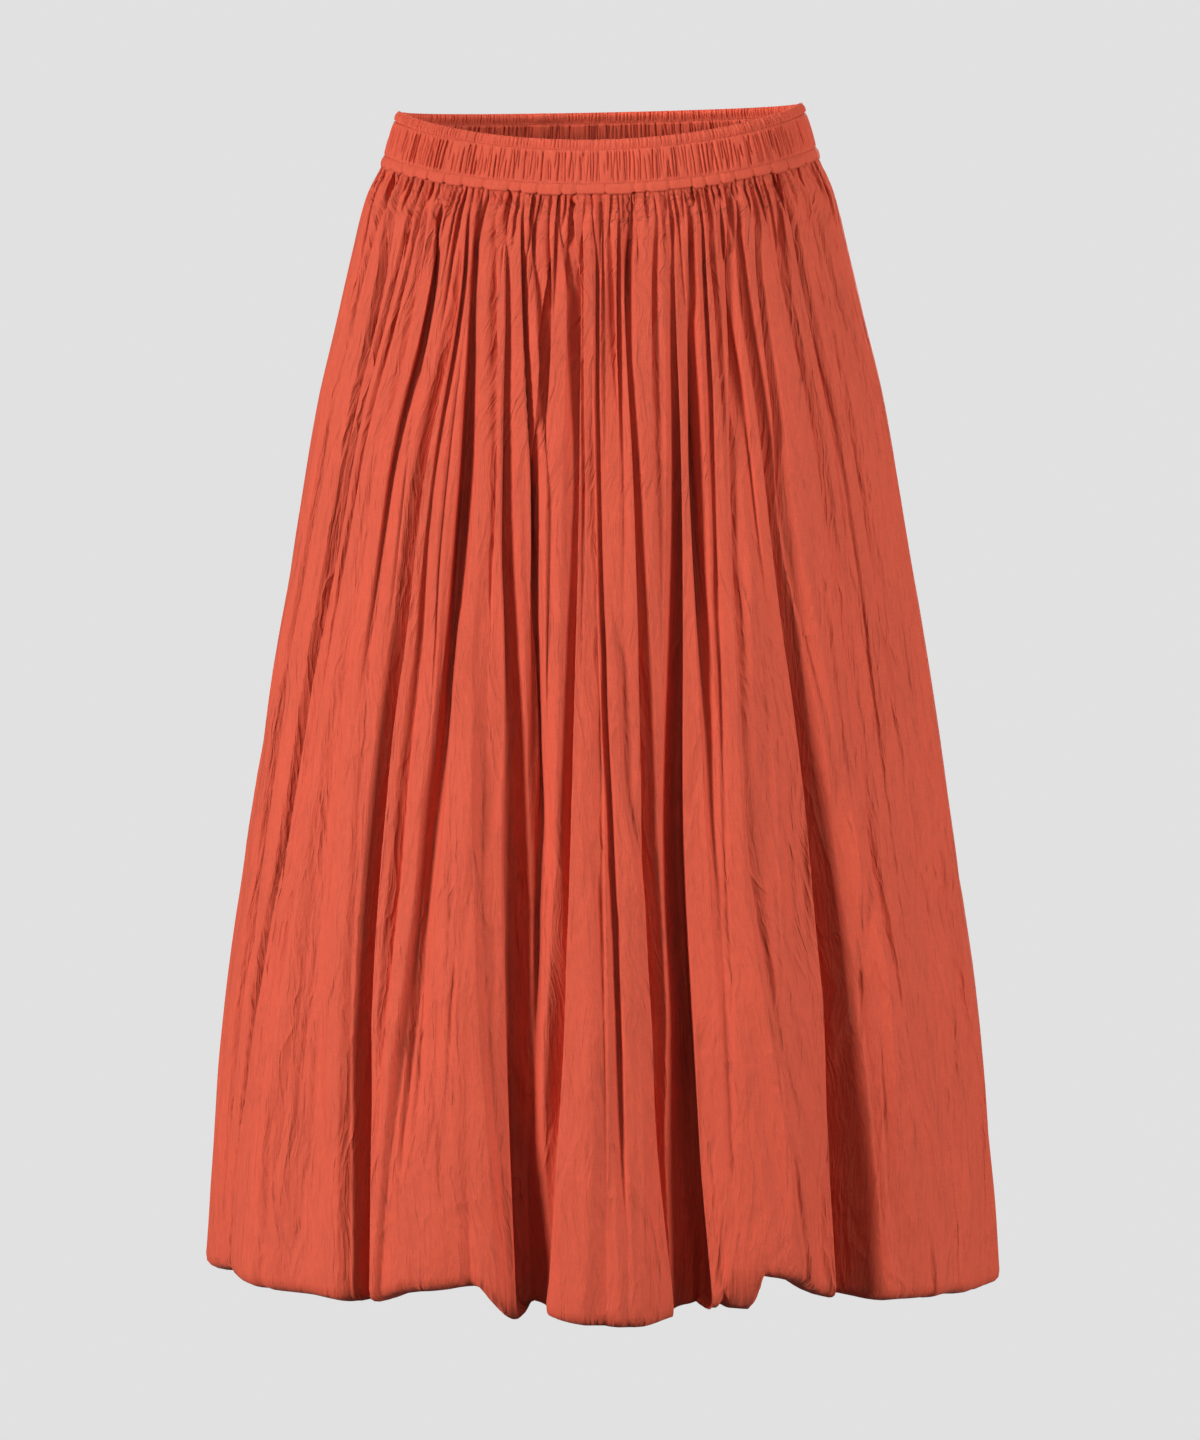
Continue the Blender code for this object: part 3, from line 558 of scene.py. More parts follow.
def crease_folds(level, count, seed, depths, widths, lengths, above):
    """Creases over the whole skirt, nearly upright, each with its own start,
    length, slant and depth (mm) and width (mm), and a path of straight runs; a
    third of them stand proud.  Above the level `above`, and near the side seams,
    they are fainter."""
    draw = np.random.default_rng(seed)
    place = draw.uniform(0, 4, count)
    start = draw.uniform(0.02, 0.95, count)
    length = draw.uniform(*lengths, count)
    slant = draw.normal(0, 0.03, count) + draw.normal(0, 0.14, count) * length
    deepest = draw.uniform(*depths, count)
    deepest = deepest * np.where(draw.random(count) < PROUD_CREASES, PROUD_DEPTH, 1) * MM
    to_seam = np.abs(place - 2 * np.round(place / 2))
    deepest = deepest * (1 - SEAM_CALM * np.exp(-(to_seam / SEAM_CALM_REACH) ** 2))
    width = draw.uniform(*widths, count) * MM
    side = draw.uniform(0.28, 0.9, count)
    flip = draw.random(count) < 0.5
    wave = draw.normal(0, 0.005, count)
    turns = draw.uniform(1.0, 3.5, count)
    phase = draw.uniform(0, 2, count)
    along = (level[None, :] - start[:, None]) / length[:, None]
    fade = np.clip(1 - (2 * along - 1) ** 2, 0, 1) ** 0.8
    fade = fade * (0.25 + 0.75 * smoothstep(level, 0.5 * above, above))
    path = place[:, None] + slant[:, None] * (along - 0.5)
    path = path + wave[:, None] * zigzag(turns[:, None] * along + phase[:, None])
    left = (width * np.where(flip, side, 1))[:, None] + 0 * fade
    right = (width * np.where(flip, 1, side))[:, None] + 0 * fade
    lean = draw.normal(0, 0.4, count)[:, None]
    return Folds(path, deepest[:, None] * fade, left, right, lean, 0.8 * MM)


def ridge_folds(level, seed):
    """The bundles of thin ridges: each one spread unevenly over its places, and
    rising and falling as a bow along its own stretch of the levels."""
    draw = np.random.default_rng(seed)
    bundle = np.repeat(RIDGES, RIDGES[:, 4].astype(int), axis=0)
    count = len(bundle)
    low, high, top, bottom = bundle[:, :4].T
    place = low + (high - low) * draw.random(count)
    start = top + (bottom - top) * draw.uniform(0, 0.4, count)
    end = bottom - (bottom - top) * draw.uniform(0, 0.3, count)
    along = np.clip((level[None, :] - start[:, None]) / (end - start)[:, None], 0, 1)
    path = place[:, None] + draw.normal(0, 0.010, count)[:, None] * (along - 0.5)
    height = bundle[:, 5:6] * MM * draw.uniform(0.5, 1.2, count)[:, None]
    depth = -height * (4 * along * (1 - along)) ** 0.6
    left = draw.uniform(1.5, 6.0, count)[:, None] * MM + 0 * depth
    right = draw.uniform(1.5, 6.0, count)[:, None] * MM + 0 * depth
    return Folds(path, depth, left, right, 0.0, 0.6 * MM)


def side_seams(level):
    """The grooves of the two side seams, with a slight pucker down them."""
    place = np.array((0.0, 2.0))[:, None] + 0 * level[None, :]
    pucker = 1 + SIDE_SEAM_PUCKER * np.sin(level[None, :] * SIDE_SEAM_WAVES + place)
    depth = SIDE_SEAM_DEPTH * pucker * smoothstep(level, 0.0, 0.01)
    half = SIDE_SEAM_HALF_WIDTH + 0 * place
    return Folds(place, depth, half, half, 0.0, 0.5 * MM)


def even_runs(*runs):
    """Numbers from run to run, each run (start, end, count) evenly spaced.  Only
    the last one includes its end."""
    parts = [np.linspace(start, end, count, endpoint=False) for start, end, count in runs[:-1]]
    return np.concatenate(parts + [np.linspace(*runs[-1])])


def outer_levels():
    """Levels of the rows down the outside: close together under the waist seam,
    where the gathers are fine, and further apart below."""
    return even_runs((0, 0.05, 24), (0.05, 0.16, 18), (0.16, 1.0, 54))


def hem_lift(around):
    """How far the hem is raised at each place round the ring."""
    return smooth_rows(around % 4, HEM_LIFTS[:, 0], HEM_LIFTS[:, 1])[0] * MM


def hem_dip(around):
    """How far the turned-in cloth hangs down inside the hem at each place."""
    return smooth_rows(around % 4, HEM_DIPS[:, 0], HEM_DIPS[:, 1])[0] * MM


def skirt_ring(settings):
    """The whole ring of cloth on a fine grid: rows run down the outside, round the
    hem and up inside to the hem band.  The outside is the ring moved in by every
    fold.  Round the hem, the inset goes from the hem's to the hem band's as the
    cosine of half a turn does, and the height as its sine does, with the dip on top
    as the sine's square."""
    around = np.linspace(0, 4, FINE_COLUMNS + 1)
    level = outer_levels()
    angle = ring_angle(around)
    width, depth = half_sizes(level)
    arc = quarter_arc(width, depth)
    inset = np.zeros((len(level), len(around)))
    slide = np.zeros_like(inset)
    for folds in (placed_pleats(level),
                  gather_folds(level, settings.gathers * 2, settings.seed),
                  small_pleats(level, settings.small_pleats * 2, settings.seed + 2),
                  crease_folds(level, settings.creases // 2, settings.seed + 3, *LONG_CREASES),
                  crease_folds(level, settings.creases // 2, settings.seed + 4, *SHORT_CREASES),
                  ridge_folds(level, settings.seed + 9),
                  side_seams(level)):
        folds.add_to(inset, slide, around, arc)
    share = np.clip(inset[-1] / DEEP_TROUGH, 0, 1)
    turn = TURN_HEIGHT + (TROUGH_TURN_HEIGHT - TURN_HEIGHT) * share
    bottom = HEM_LINE + hem_lift(around) + TROUGH_LIFT * share
    top = seam_height(angle) + PANEL_TUCK
    height = top + (bottom + turn - top) * level[:, None]
    rows = [ring_points(angle, width[:, None], depth[:, None], inset, slide, height)]
    for swing in TURN_SWINGS:
        out = np.sign(np.cos(swing)) * abs(np.cos(swing)) ** TURN_SQUARENESS
        down = abs(np.sin(swing)) ** TURN_SQUARENESS
        within = (inset[-1] + TURN_INSET) / 2 + (inset[-1] - TURN_INSET) / 2 * out
        kept = (1 + out) / 2
        hem_height = bottom + turn * (1 - down) - hem_dip(around) * np.sin(swing) ** 2
        rows.append(ring_points(angle, HEM_HALF_WIDTH, HEM_HALF_DEPTH, within,
                                slide[-1] * kept, hem_height)[None])
    band_height = HEM_BAND_BOTTOM - SEAM_GAP
    waves = np.sin(around * 2 * pi * FACING_RIPPLES + 3 * np.sin(around * 2 * pi))
    for share_up in np.linspace(0, 1, FACING_ROWS)[1:]:
        ripple = FACING_RIPPLE * share_up * waves
        inner_height = bottom + turn + (band_height - bottom - turn) * share_up
        rows.append(ring_points(angle, HEM_HALF_WIDTH, HEM_HALF_DEPTH, TURN_INSET + ripple, 0,
                                inner_height)[None])
    return around, np.concatenate(rows)


def settled(rows, reach):
    """Rows of numbers, each averaged with the rows near it: bell-shaped weights,
    reach rows wide, with the first and last rows repeated past the ends."""
    steps = np.arange(-3 * reach, 3 * reach + 1)
    weights = np.exp(-0.5 * (steps / reach) ** 2)
    padded = rows[np.clip(np.arange(len(rows))[:, None] + steps, 0, len(rows) - 1)]
    return np.einsum("rsc,s->rc", padded, weights / weights.sum())


def panel_grid(ring, around, start, columns):
    """A panel's part of the ring, from start to start + 2 around.  In each row the
    columns are spread partly evenly round the ring and partly evenly along the
    folded cloth, and drift only slowly from row to row.  Gives the points and how
    far along the cloth each one is."""
    first = np.searchsorted(around, start)
    last = np.searchsorted(around, start + 2)
    points = ring[:, first:last + 1]
    steps = np.linalg.norm(np.diff(points[..., :2], axis=1), axis=-1)
    along = np.concatenate((np.zeros((len(points), 1)), np.cumsum(steps, 1)), 1)
    along /= along[:, -1:]
    even = np.linspace(0, 1, points.shape[1])
    spread = settled(EVEN_SHARE * even + (1 - EVEN_SHARE) * along, DRIFT_ROWS)
    wanted = np.linspace(0, 1, columns)
    grid = np.empty((len(points), columns, 3))
    across = np.empty((len(points), columns))
    for row, line in enumerate(points):
        across[row] = np.interp(wanted, spread[row], along[row])
        for axis in range(3):
            grid[row, :, axis] = np.interp(wanted, spread[row], line[:, axis])
    return grid, across


def grid_faces(rows, columns, close_rows=False, close_columns=False):
    """Quads of a grid of points numbered along its rows, as four corner indices.
    A closed grid's last row or column is joined to its first."""
    index = np.arange(rows * columns).reshape(rows, columns)
    if close_rows:
        index = np.concatenate((index, index[:1]))
    if close_columns:
        index = np.concatenate((index, index[:, :1]), 1)
    corners = (index[:-1, :-1], index[1:, :-1], index[1:, 1:], index[:-1, 1:])
    return np.stack(corners, -1).reshape(-1, 4)


def cloth_piece(name, points, quads, uv, material):
    """A smooth-shaded mesh object of those points and quads, with a UV map in
    metres of cloth, one pair of numbers for each point."""
    mesh = bpy.data.meshes.new(name)
    mesh.vertices.add(len(points))
    mesh.vertices.foreach_set("co", points.astype(np.float32).ravel())
    mesh.loops.add(quads.size)
    mesh.loops.foreach_set("vertex_index", quads.astype(np.int32).ravel())
    mesh.polygons.add(len(quads))
    starts = np.arange(0, quads.size, quads.shape[1], dtype=np.int32)
    mesh.polygons.foreach_set("loop_start", starts)
    mesh.update(calc_edges=True)
    layer = mesh.uv_layers.new(name="cloth")
    layer.data.foreach_set("uv", uv[quads.ravel()].astype(np.float32).ravel())
    mesh.polygons.foreach_set("use_smooth", np.ones(len(quads), dtype=bool))
    mesh.materials.append(material)
    piece = bpy.data.objects.new(name, mesh)
    bpy.context.scene.collection.objects.link(piece)
    return piece


def add_panel(name, node, start, settings, ring, around):
    """One panel of the skirt, from one side seam to the other."""
    grid, across = panel_grid(ring, around, start, PANEL_COLUMNS)
    rows, columns = across.shape
    fall = np.linalg.norm(np.diff(grid, axis=0), axis=-1).mean(1)
    down = np.concatenate(([0.0], np.cumsum(fall)))
    uv = np.stack((across * settings.cloth_width, down[:, None] + 0 * across), -1)
    quads = grid_faces(rows, columns)
    piece = cloth_piece(name, grid.reshape(-1, 3), quads, uv.reshape(-1, 2),
                        cotton("skirt cotton", settings))
    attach(piece, "root")
    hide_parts(node)
    return piece


# --- Materials ---


def new_group(name, inputs, outputs):
    """A shader node group with its named inputs (name, default) and outputs."""
    group = bpy.data.node_groups.new(name, "ShaderNodeTree")
    for label, kind, default in inputs:
        socket = group.interface.new_socket(label, in_out="INPUT", socket_type=kind)
        if default is not None:
            socket.default_value = default
    for label, kind in outputs:
        group.interface.new_socket(label, in_out="OUTPUT", socket_type=kind)
    return group


def node(tree, kind, links=(), **values):
    """Adds a node.  links pairs an input's name or number with the socket that
    feeds it; values set the node's own settings and input defaults by name."""
    made = tree.nodes.new(kind)
    inputs = values.pop("inputs", {})
    for key, value in values.items():
        setattr(made, key, value)
    for key, value in inputs.items():
        made.inputs[key].default_value = value
    for key, socket in links:
        tree.links.new(socket, made.inputs[key])
    return made


def maths(tree, operation, first, second):
    """A Math node; each side is a socket or a number."""
    made = tree.nodes.new("ShaderNodeMath")
    made.operation = operation
    for i, side in enumerate((first, second)):
        if isinstance(side, (int, float)):
            made.inputs[i].default_value = side
        else:
            tree.links.new(side, made.inputs[i])
    return made.outputs[0]


def stretched_noise(tree, place, scale, seed, detail, distortion=0.0):
    """Noise whose grains are scale = (along u, along v) to the metre."""
    mapping = node(tree, "ShaderNodeMapping", [("Vector", place)],
                   inputs={"Scale": (scale[0], scale[1], 1.0),
                           "Location": (seed, seed * 1.7, seed)})
    noise = node(tree, "ShaderNodeTexNoise", [("Vector", mapping.outputs[0])],
                 inputs={"Scale": 1.0, "Detail": detail, "Roughness": 0.55,
                         "Distortion": distortion})
    return noise.outputs[0]


def crinkle_group():
    """Height of fine crinkles: the ridges where stretched noise crosses its middle
    value, long along the cloth's length and short across it."""
    name = "cloth crinkles"
    if name in bpy.data.node_groups:
        return bpy.data.node_groups[name]
    group = new_group(name, [("Place", "NodeSocketVector", None),
                             ("Across", "NodeSocketFloat", 140.0),
                             ("Along", "NodeSocketFloat", 14.0)],
                      [("Height", "NodeSocketFloat")])
    start = group.nodes.new("NodeGroupInput")
    end = group.nodes.new("NodeGroupOutput")
    scale = node(group, "ShaderNodeCombineXYZ", [(0, start.outputs["Across"]),
                                                 (1, start.outputs["Along"])])
    placed = node(group, "ShaderNodeVectorMath", [(0, start.outputs["Place"]),
                                                  (1, scale.outputs[0])], operation="MULTIPLY")
    noise = node(group, "ShaderNodeTexNoise", [("Vector", placed.outputs[0])],
                 inputs={"Scale": 1.0, "Detail": 3.0, "Roughness": 0.5, "Distortion": 0.4})
    centred = maths(group, "SUBTRACT", noise.outputs[0], 0.5)
    away = maths(group, "MULTIPLY", maths(group, "ABSOLUTE", centred, 0.0), 5.0)
    ridge = maths(group, "SUBTRACT", 1.0, away)
    sharp = maths(group, "POWER", maths(group, "MAXIMUM", ridge, 0.0), 2.0)
    total = maths(group, "ADD", maths(group, "MULTIPLY", sharp, 0.5), noise.outputs[0])
    group.links.new(total, end.inputs["Height"])
    return group


def weave_group():
    """Height of a plain weave with uneven, slubby threads, and a mask of the
    threads' small differences in colour."""
    name = "plain weave"
    if name in bpy.data.node_groups:
        return bpy.data.node_groups[name]
    group = new_group(name, [("Place", "NodeSocketVector", None),
                             ("Threads", "NodeSocketFloat", 2600.0)],
                      [("Height", "NodeSocketFloat"), ("Slub", "NodeSocketFloat")])
    start = group.nodes.new("NodeGroupInput")
    end = group.nodes.new("NodeGroupOutput")
    split = node(group, "ShaderNodeSeparateXYZ", [(0, start.outputs["Place"])])
    across, along = (maths(group, "SINE", maths(group, "MULTIPLY", split.outputs[axis],
                                                start.outputs["Threads"]), 0.0) for axis in (0, 1))
    height = maths(group, "MULTIPLY", across, along)
    warp = stretched_noise(group, start.outputs["Place"], (1500.0, 60.0), 3.0, 2.0)
    weft = stretched_noise(group, start.outputs["Place"], (60.0, 1500.0), 8.0, 2.0)
    slub = maths(group, "MULTIPLY", maths(group, "ADD", warp, weft), 0.5)
    group.links.new(height, end.inputs["Height"])
    group.links.new(slub, end.inputs["Slub"])
    return group


def grain_group():
    """The cloth's fine puckered grain: two sizes of noise, a little longer down
    the cloth than across it."""
    name = "cloth grain"
    if name in bpy.data.node_groups:
        return bpy.data.node_groups[name]
    group = new_group(name, [("Place", "NodeSocketVector", None)], [("Height", "NodeSocketFloat")])
    start = group.nodes.new("NodeGroupInput")
    end = group.nodes.new("NodeGroupOutput")
    fine = stretched_noise(group, start.outputs["Place"], (900.0, 620.0), 2.0, 2.0, 0.3)
    coarse = stretched_noise(group, start.outputs["Place"], (330.0, 150.0), 9.0, 2.0, 0.5)
    total = maths(group, "ADD", maths(group, "MULTIPLY", fine, 0.4),
                  maths(group, "MULTIPLY", coarse, 0.6))
    group.links.new(total, end.inputs["Height"])
    return group


def wash_and_crinkle_shade_group():
    """Garment-washed colour with painted shade: the given colour, a little paler and darker in soft
    patches, along the threads and on the grain, with painted shade in the crinkles' grooves and a
    painted highlight on their ridges."""
    name = "garment wash"
    if name in bpy.data.node_groups:
        return bpy.data.node_groups[name]
    group = new_group(name, [("Place", "NodeSocketVector", None),
                             ("Colour", "NodeSocketColor", (1, 1, 1, 1)),
                             ("Slub", "NodeSocketFloat", 0.5),
                             ("Crinkle", "NodeSocketFloat", 0.5),
                             ("Grain", "NodeSocketFloat", 0.5)],
                      [("Colour", "NodeSocketColor")])
    start = group.nodes.new("NodeGroupInput")
    end = group.nodes.new("NodeGroupOutput")
    patches = stretched_noise(group, start.outputs["Place"], (22.0, 9.0), 5.0, 4.0)
    total = 1.0
    # The crinkles' part is painted shade and highlight: the colour is darker in their grooves and
    # paler on their ridges.
    for socket, middle, share in ((start.outputs["Slub"], 0.5, 0.45),
                                  (start.outputs["Crinkle"], 0.6, 0.10),
                                  (start.outputs["Grain"], 0.5, 0.30), (patches, 0.5, 0.25)):
        part = maths(group, "MULTIPLY", maths(group, "SUBTRACT", socket, middle), share)
        total = maths(group, "ADD", part, total)
    shade = node(group, "ShaderNodeVectorMath", [(0, start.outputs["Colour"]), ("Scale", total)],
                 operation="SCALE")
    group.links.new(shade.outputs[0], end.inputs["Colour"])
    return group


def use_group(tree, group, links, **inputs):
    """Places a node group in a material, with its own links and values."""
    made = tree.nodes.new("ShaderNodeGroup")
    made.node_tree = group
    for key, value in inputs.items():
        made.inputs[key].default_value = value
    for key, socket in links:
        tree.links.new(socket, made.inputs[key])
    return made


def cotton(name, settings, crinkle_across=170.0, crinkle_along=30.0, crinkle_depth=0.7,
           crumple_depth=2.4):
    """Matte washed cotton: plain weave, grain, fine crinkles, wide soft crumples and an uneven
    garment-washed colour, with painted shade in the crinkles' grooves and a painted highlight on
    their ridges.  Crinkles are to the metre, and depths mm."""
    if name in bpy.data.materials:
        return bpy.data.materials[name]
    material = bpy.data.materials.new(name)
    material.use_nodes = True
    tree = material.node_tree
    tree.nodes.clear()
    place = node(tree, "ShaderNodeUVMap", uv_map="cloth").outputs[0]
    weave = use_group(tree, weave_group(), [("Place", place)])
    crinkles = use_group(tree, crinkle_group(), [("Place", place)], Across=crinkle_across,
                         Along=crinkle_along)
    grain = use_group(tree, grain_group(), [("Place", place)])
    # The cloth's colour, with painted shade in the crinkles' grooves and a painted highlight on
    # their ridges.
    wash_and_shade = use_group(tree, wash_and_crinkle_shade_group(), [("Place", place), ("Slub", weave.outputs["Slub"]),
                                          ("Crinkle", crinkles.outputs["Height"]),
                                          ("Grain", grain.outputs["Height"])],
                     Colour=(*settings.cloth_colour, 1.0))
    crumples = use_group(tree, crinkle_group(), [("Place", place)], Across=40.0, Along=10.0)
    crumple = node(tree, "ShaderNodeBump", [("Height", crumples.outputs["Height"])],
                   inputs={"Strength": 1.0, "Distance": crumple_depth * MM})
    cockle = node(tree, "ShaderNodeBump", [("Height", crinkles.outputs["Height"]),
                                           ("Normal", crumple.outputs[0])],
                  inputs={"Strength": 1.0, "Distance": crinkle_depth * MM})
    pucker = node(tree, "ShaderNodeBump", [("Height", grain.outputs["Height"]),
                                           ("Normal", cockle.outputs[0])],
                  inputs={"Strength": 1.0, "Distance": 0.45 * MM})
    threads = node(tree, "ShaderNodeBump", [("Height", weave.outputs["Height"]),
                                            ("Normal", pucker.outputs[0])],
                   inputs={"Strength": 0.5, "Distance": 0.03 * MM})
    shader = node(tree, "ShaderNodeBsdfPrincipled", [("Base Color", wash_and_shade.outputs[0]),
                                                    ("Normal", threads.outputs[0])],
                  inputs={"Roughness": 0.8, "Specular IOR Level": 0.45, "Sheen Weight": 0.05,
                          "Sheen Roughness": 0.6, "Sheen Tint": (1.0, 0.75, 0.65, 1.0)})
    node(tree, "ShaderNodeOutputMaterial", [("Surface", shader.outputs[0])])
    return material


def thread(settings):
    """Sewing thread, dyed with the cloth and a little darker: its plies wind round
    it as slanted waves, and its shade drifts along the line of stitches."""
    material = bpy.data.materials.new("sewing thread")
    material.use_nodes = True
    tree = material.node_tree
    tree.nodes.clear()
    place = node(tree, "ShaderNodeTexCoord").outputs["Object"]
    drift = stretched_noise(tree, place, (300.0, 300.0), 4.0, 2.0)
    shade = maths(tree, "ADD", maths(tree, "MULTIPLY", drift, 0.4), 0.65)
    colour = node(tree, "ShaderNodeVectorMath", [("Scale", shade)], operation="SCALE",
                  inputs={0: tuple(settings.cloth_colour)})
    plies = node(tree, "ShaderNodeTexWave", [("Vector", place)], bands_direction="DIAGONAL",
                 inputs={"Scale": 400.0, "Distortion": 0.5})
    twist = node(tree, "ShaderNodeBump", [("Height", plies.outputs[1])],
                 inputs={"Strength": 1.0, "Distance": 0.08 * MM})
    shader = node(tree, "ShaderNodeBsdfPrincipled", [("Base Color", colour.outputs[0]),
                                                    ("Normal", twist.outputs[0])],
                  inputs={"Roughness": 0.6})
    node(tree, "ShaderNodeOutputMaterial", [("Surface", shader.outputs[0])])
    return material


# --- Waistband, stitching and hem band ---


def band_points(angle, share, proud, slide=0.0, lower=0.0):
    """Points of the waistband: its ring shrinks from the seam's to the rim's with
    the share of its height, moved out by proud; lower moves the seam end down."""
    width = SEAM_HALF_WIDTH + (RIM_HALF_WIDTH - SEAM_HALF_WIDTH) * share
    depth = SEAM_HALF_DEPTH + (RIM_HALF_DEPTH - SEAM_HALF_DEPTH) * share
    height = seam_height(angle) + BAND_HEIGHT * share - lower
    return ring_points(angle, width, depth, -proud, slide, height)


def band_gathers(share, count, seed):
    """The elastic's gathers, as folds: long thin creases between the two lines of
    stitching, close together in bunches with flatter places between, and
    pinched flat at the stitching."""
    draw = np.random.default_rng(seed)
    gaps = 0.6 + 0.9 * draw.random(count) ** 2
    place = np.cumsum(gaps) / gaps.sum() * 4
    slant = draw.normal(0, 0.004, count)
    wave = draw.normal(0, 0.0015, count)
    phase = draw.uniform(0, 2 * pi, count)
    deepest = draw.uniform(1.0, 2.4, count) * MM
    path = place[:, None] + slant[:, None] * (share - 0.5)
    path = path + wave[:, None] * np.sin(7 * share[None, :] + phase[:, None])
    top = np.where(draw.random(count) < 0.75, 0.81, draw.uniform(0.55, 0.80, count))[:, None]
    foot = np.where(draw.random(count) < 0.75, 0.20, draw.uniform(0.22, 0.45, count))[:, None]
    shown = smoothstep(share, foot, foot + 0.06) * (1 - smoothstep(share, top - 0.06, top))
    depth = deepest[:, None] * shown
    width = draw.uniform(0.7, 1.0, count)[:, None] * MM + 0 * depth
    return Folds(path, depth, width, width * draw.uniform(1.0, 2.0, count)[:, None],
                 draw.normal(0, 0.2, count)[:, None], 0.12 * MM)


def header_ribs(share, count, seed):
    """Soft upright ribs in the narrow header above the upper stitching."""
    draw = np.random.default_rng(seed)
    gaps = draw.uniform(0.6, 1.4, count)
    place = np.cumsum(gaps) / gaps.sum() * 4
    path = place[:, None] + draw.normal(0, 0.010, count)[:, None] * (share - 0.9)
    deepest = draw.uniform(0.7, 1.6, count) * MM
    depth = deepest[:, None] * smoothstep(share, UPPER_STITCHES + 0.01, UPPER_STITCHES + 0.05)
    width = draw.uniform(0.8, 1.3, count)[:, None] * MM + 0 * depth
    return Folds(path, depth, width, width, 0.0, 0.2 * MM)


def strip_tabs(around, seed):
    """The lower strip's flat tabs between its tucks: 1 on a tab and 0 in a tuck,
    with a height of its own for each tab."""
    draw = np.random.default_rng(seed)
    widths = draw.uniform(9.0, 21.0, 90) * MM / SEAM_QUARTER
    starts = np.concatenate(([0.0], np.cumsum(widths)))
    starts = starts[starts < 4 - 0.06]
    nearest = np.clip(np.searchsorted(starts, around, side="right") - 1, 0, len(starts) - 1)
    ends = np.append(starts[1:], 4.0)
    edge = draw.uniform(0.007, 0.018, len(starts))[nearest]
    inside = np.minimum(around - starts[nearest], ends[nearest] - around)
    return smoothstep(inside, 0, edge), draw.uniform(-0.5, 0.6, len(starts))[nearest]


def band_face(share):
    """How proud the band's face is at each share of its height, as a column."""
    return smooth_rows(share, BAND_FACE[:, 0], BAND_FACE[:, 1])[0][:, None] * MM


def band_folds(share, around, settings, gathers_seed, ribs_seed):
    """The inset and slide of one face of the band: its gathers and its header's ribs."""
    arc = np.full(len(share), quarter_arc(SEAM_HALF_WIDTH, SEAM_HALF_DEPTH))
    inset = np.zeros((len(share), len(around)))
    slide = np.zeros_like(inset)
    for folds in (band_gathers(share, settings.band_gathers, settings.seed + gathers_seed),
                  header_ribs(share, settings.band_gathers, settings.seed + ribs_seed)):
        folds.add_to(inset, slide, around, arc)
    return inset, slide


def add_waistband(settings):
    """The gathered elastic waistband: up its outer face, over the rim and down its
    inner face, closed under the seam.  The outer face is the band's profile with
    every gather cut into it, and the tabs stand proud on its lower strip.  Inside,
    a flat strip where the band's ends are joined interrupts the gathers."""
    around = np.arange(BAND_COLUMNS) / BAND_COLUMNS * 4
    angle = ring_angle(around)
    share = even_runs((0, 0.26, 9), (0.26, 0.74, 7), (0.74, 1.0, 9))
    inset, slide = band_folds(share, around, settings, 5, 7)
    tab, tab_height = strip_tabs(around, settings.seed + 6)
    strip = 1 - smoothstep(share[:, None], *STRIP_TOP)
    tabs_out = TAB_PROUD * tab - TAB_PROUD + TAB_PROUD_SPREAD * tab_height
    tabs_down = TAB_DROP_SPREAD * tab_height + TAB_DROP * tab - TUCK_RISE
    proud = band_face(share) + strip * tabs_out * MM - inset
    lower = strip * tabs_down * MM * (1 - share[:, None] / STRIP_TOP[1])
    outer = band_points(angle, share[:, None], proud, slide, lower)
    inner_share = even_runs((1.0, 0.76, 8), (0.76, 0.02, 6))
    inner_inset, inner_slide = band_folds(inner_share, around, settings, 9, 8)
    join = np.exp(-(wrapped(around - INNER_JOIN) / INNER_JOIN_HALF_WIDTH) ** 4)
    inner_proud = (inner_inset * (1 - join) - BAND_WALL - band_face(inner_share)
                   - INNER_JOIN_PROUD * join)
    inner = band_points(angle, inner_share[:, None], inner_proud, inner_slide * (1 - join))
    rim = []
    for swing in RIM_SWINGS:
        out = (outer[-1] + inner[0]) / 2 + (outer[-1] - inner[0]) / 2 * np.cos(swing)
        rim.append(out + np.array((0, 0, RIM_ROLL)) * np.sin(swing))
    points = np.concatenate((outer, np.array(rim), inner))
    rows = len(points)
    quads = grid_faces(rows, BAND_COLUMNS, close_rows=True, close_columns=True)[:, ::-1]
    along = around / 4 * BAND_CLOTH
    steps = np.linalg.norm(np.diff(points, axis=0), axis=-1).mean(1)
    down = np.concatenate(([0.0], np.cumsum(steps)))
    uv = np.stack(np.broadcast_arrays(along[None, :], down[:, None]), -1).reshape(-1, 2)
    piece = cloth_piece("waistband_cloth", points.reshape(-1, 3), quads, uv,
                        cotton("waistband cotton", settings, 420.0, 60.0, 0.25, 0.0))
    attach(piece, "root")
    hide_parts("waistband")
    return piece


def stitch_rows(share, proud, count, phase):
    """Centres of one line of stitches round the waistband, and the direction in
    which each one lies."""
    around = (np.arange(count) + phase) / count * 4
    place = band_points(ring_angle(around), share, proud)
    ahead = band_points(ring_angle(around + 0.002), share, proud)
    lie = ahead - place
    return place, lie / np.linalg.norm(lie, axis=-1, keepdims=True)


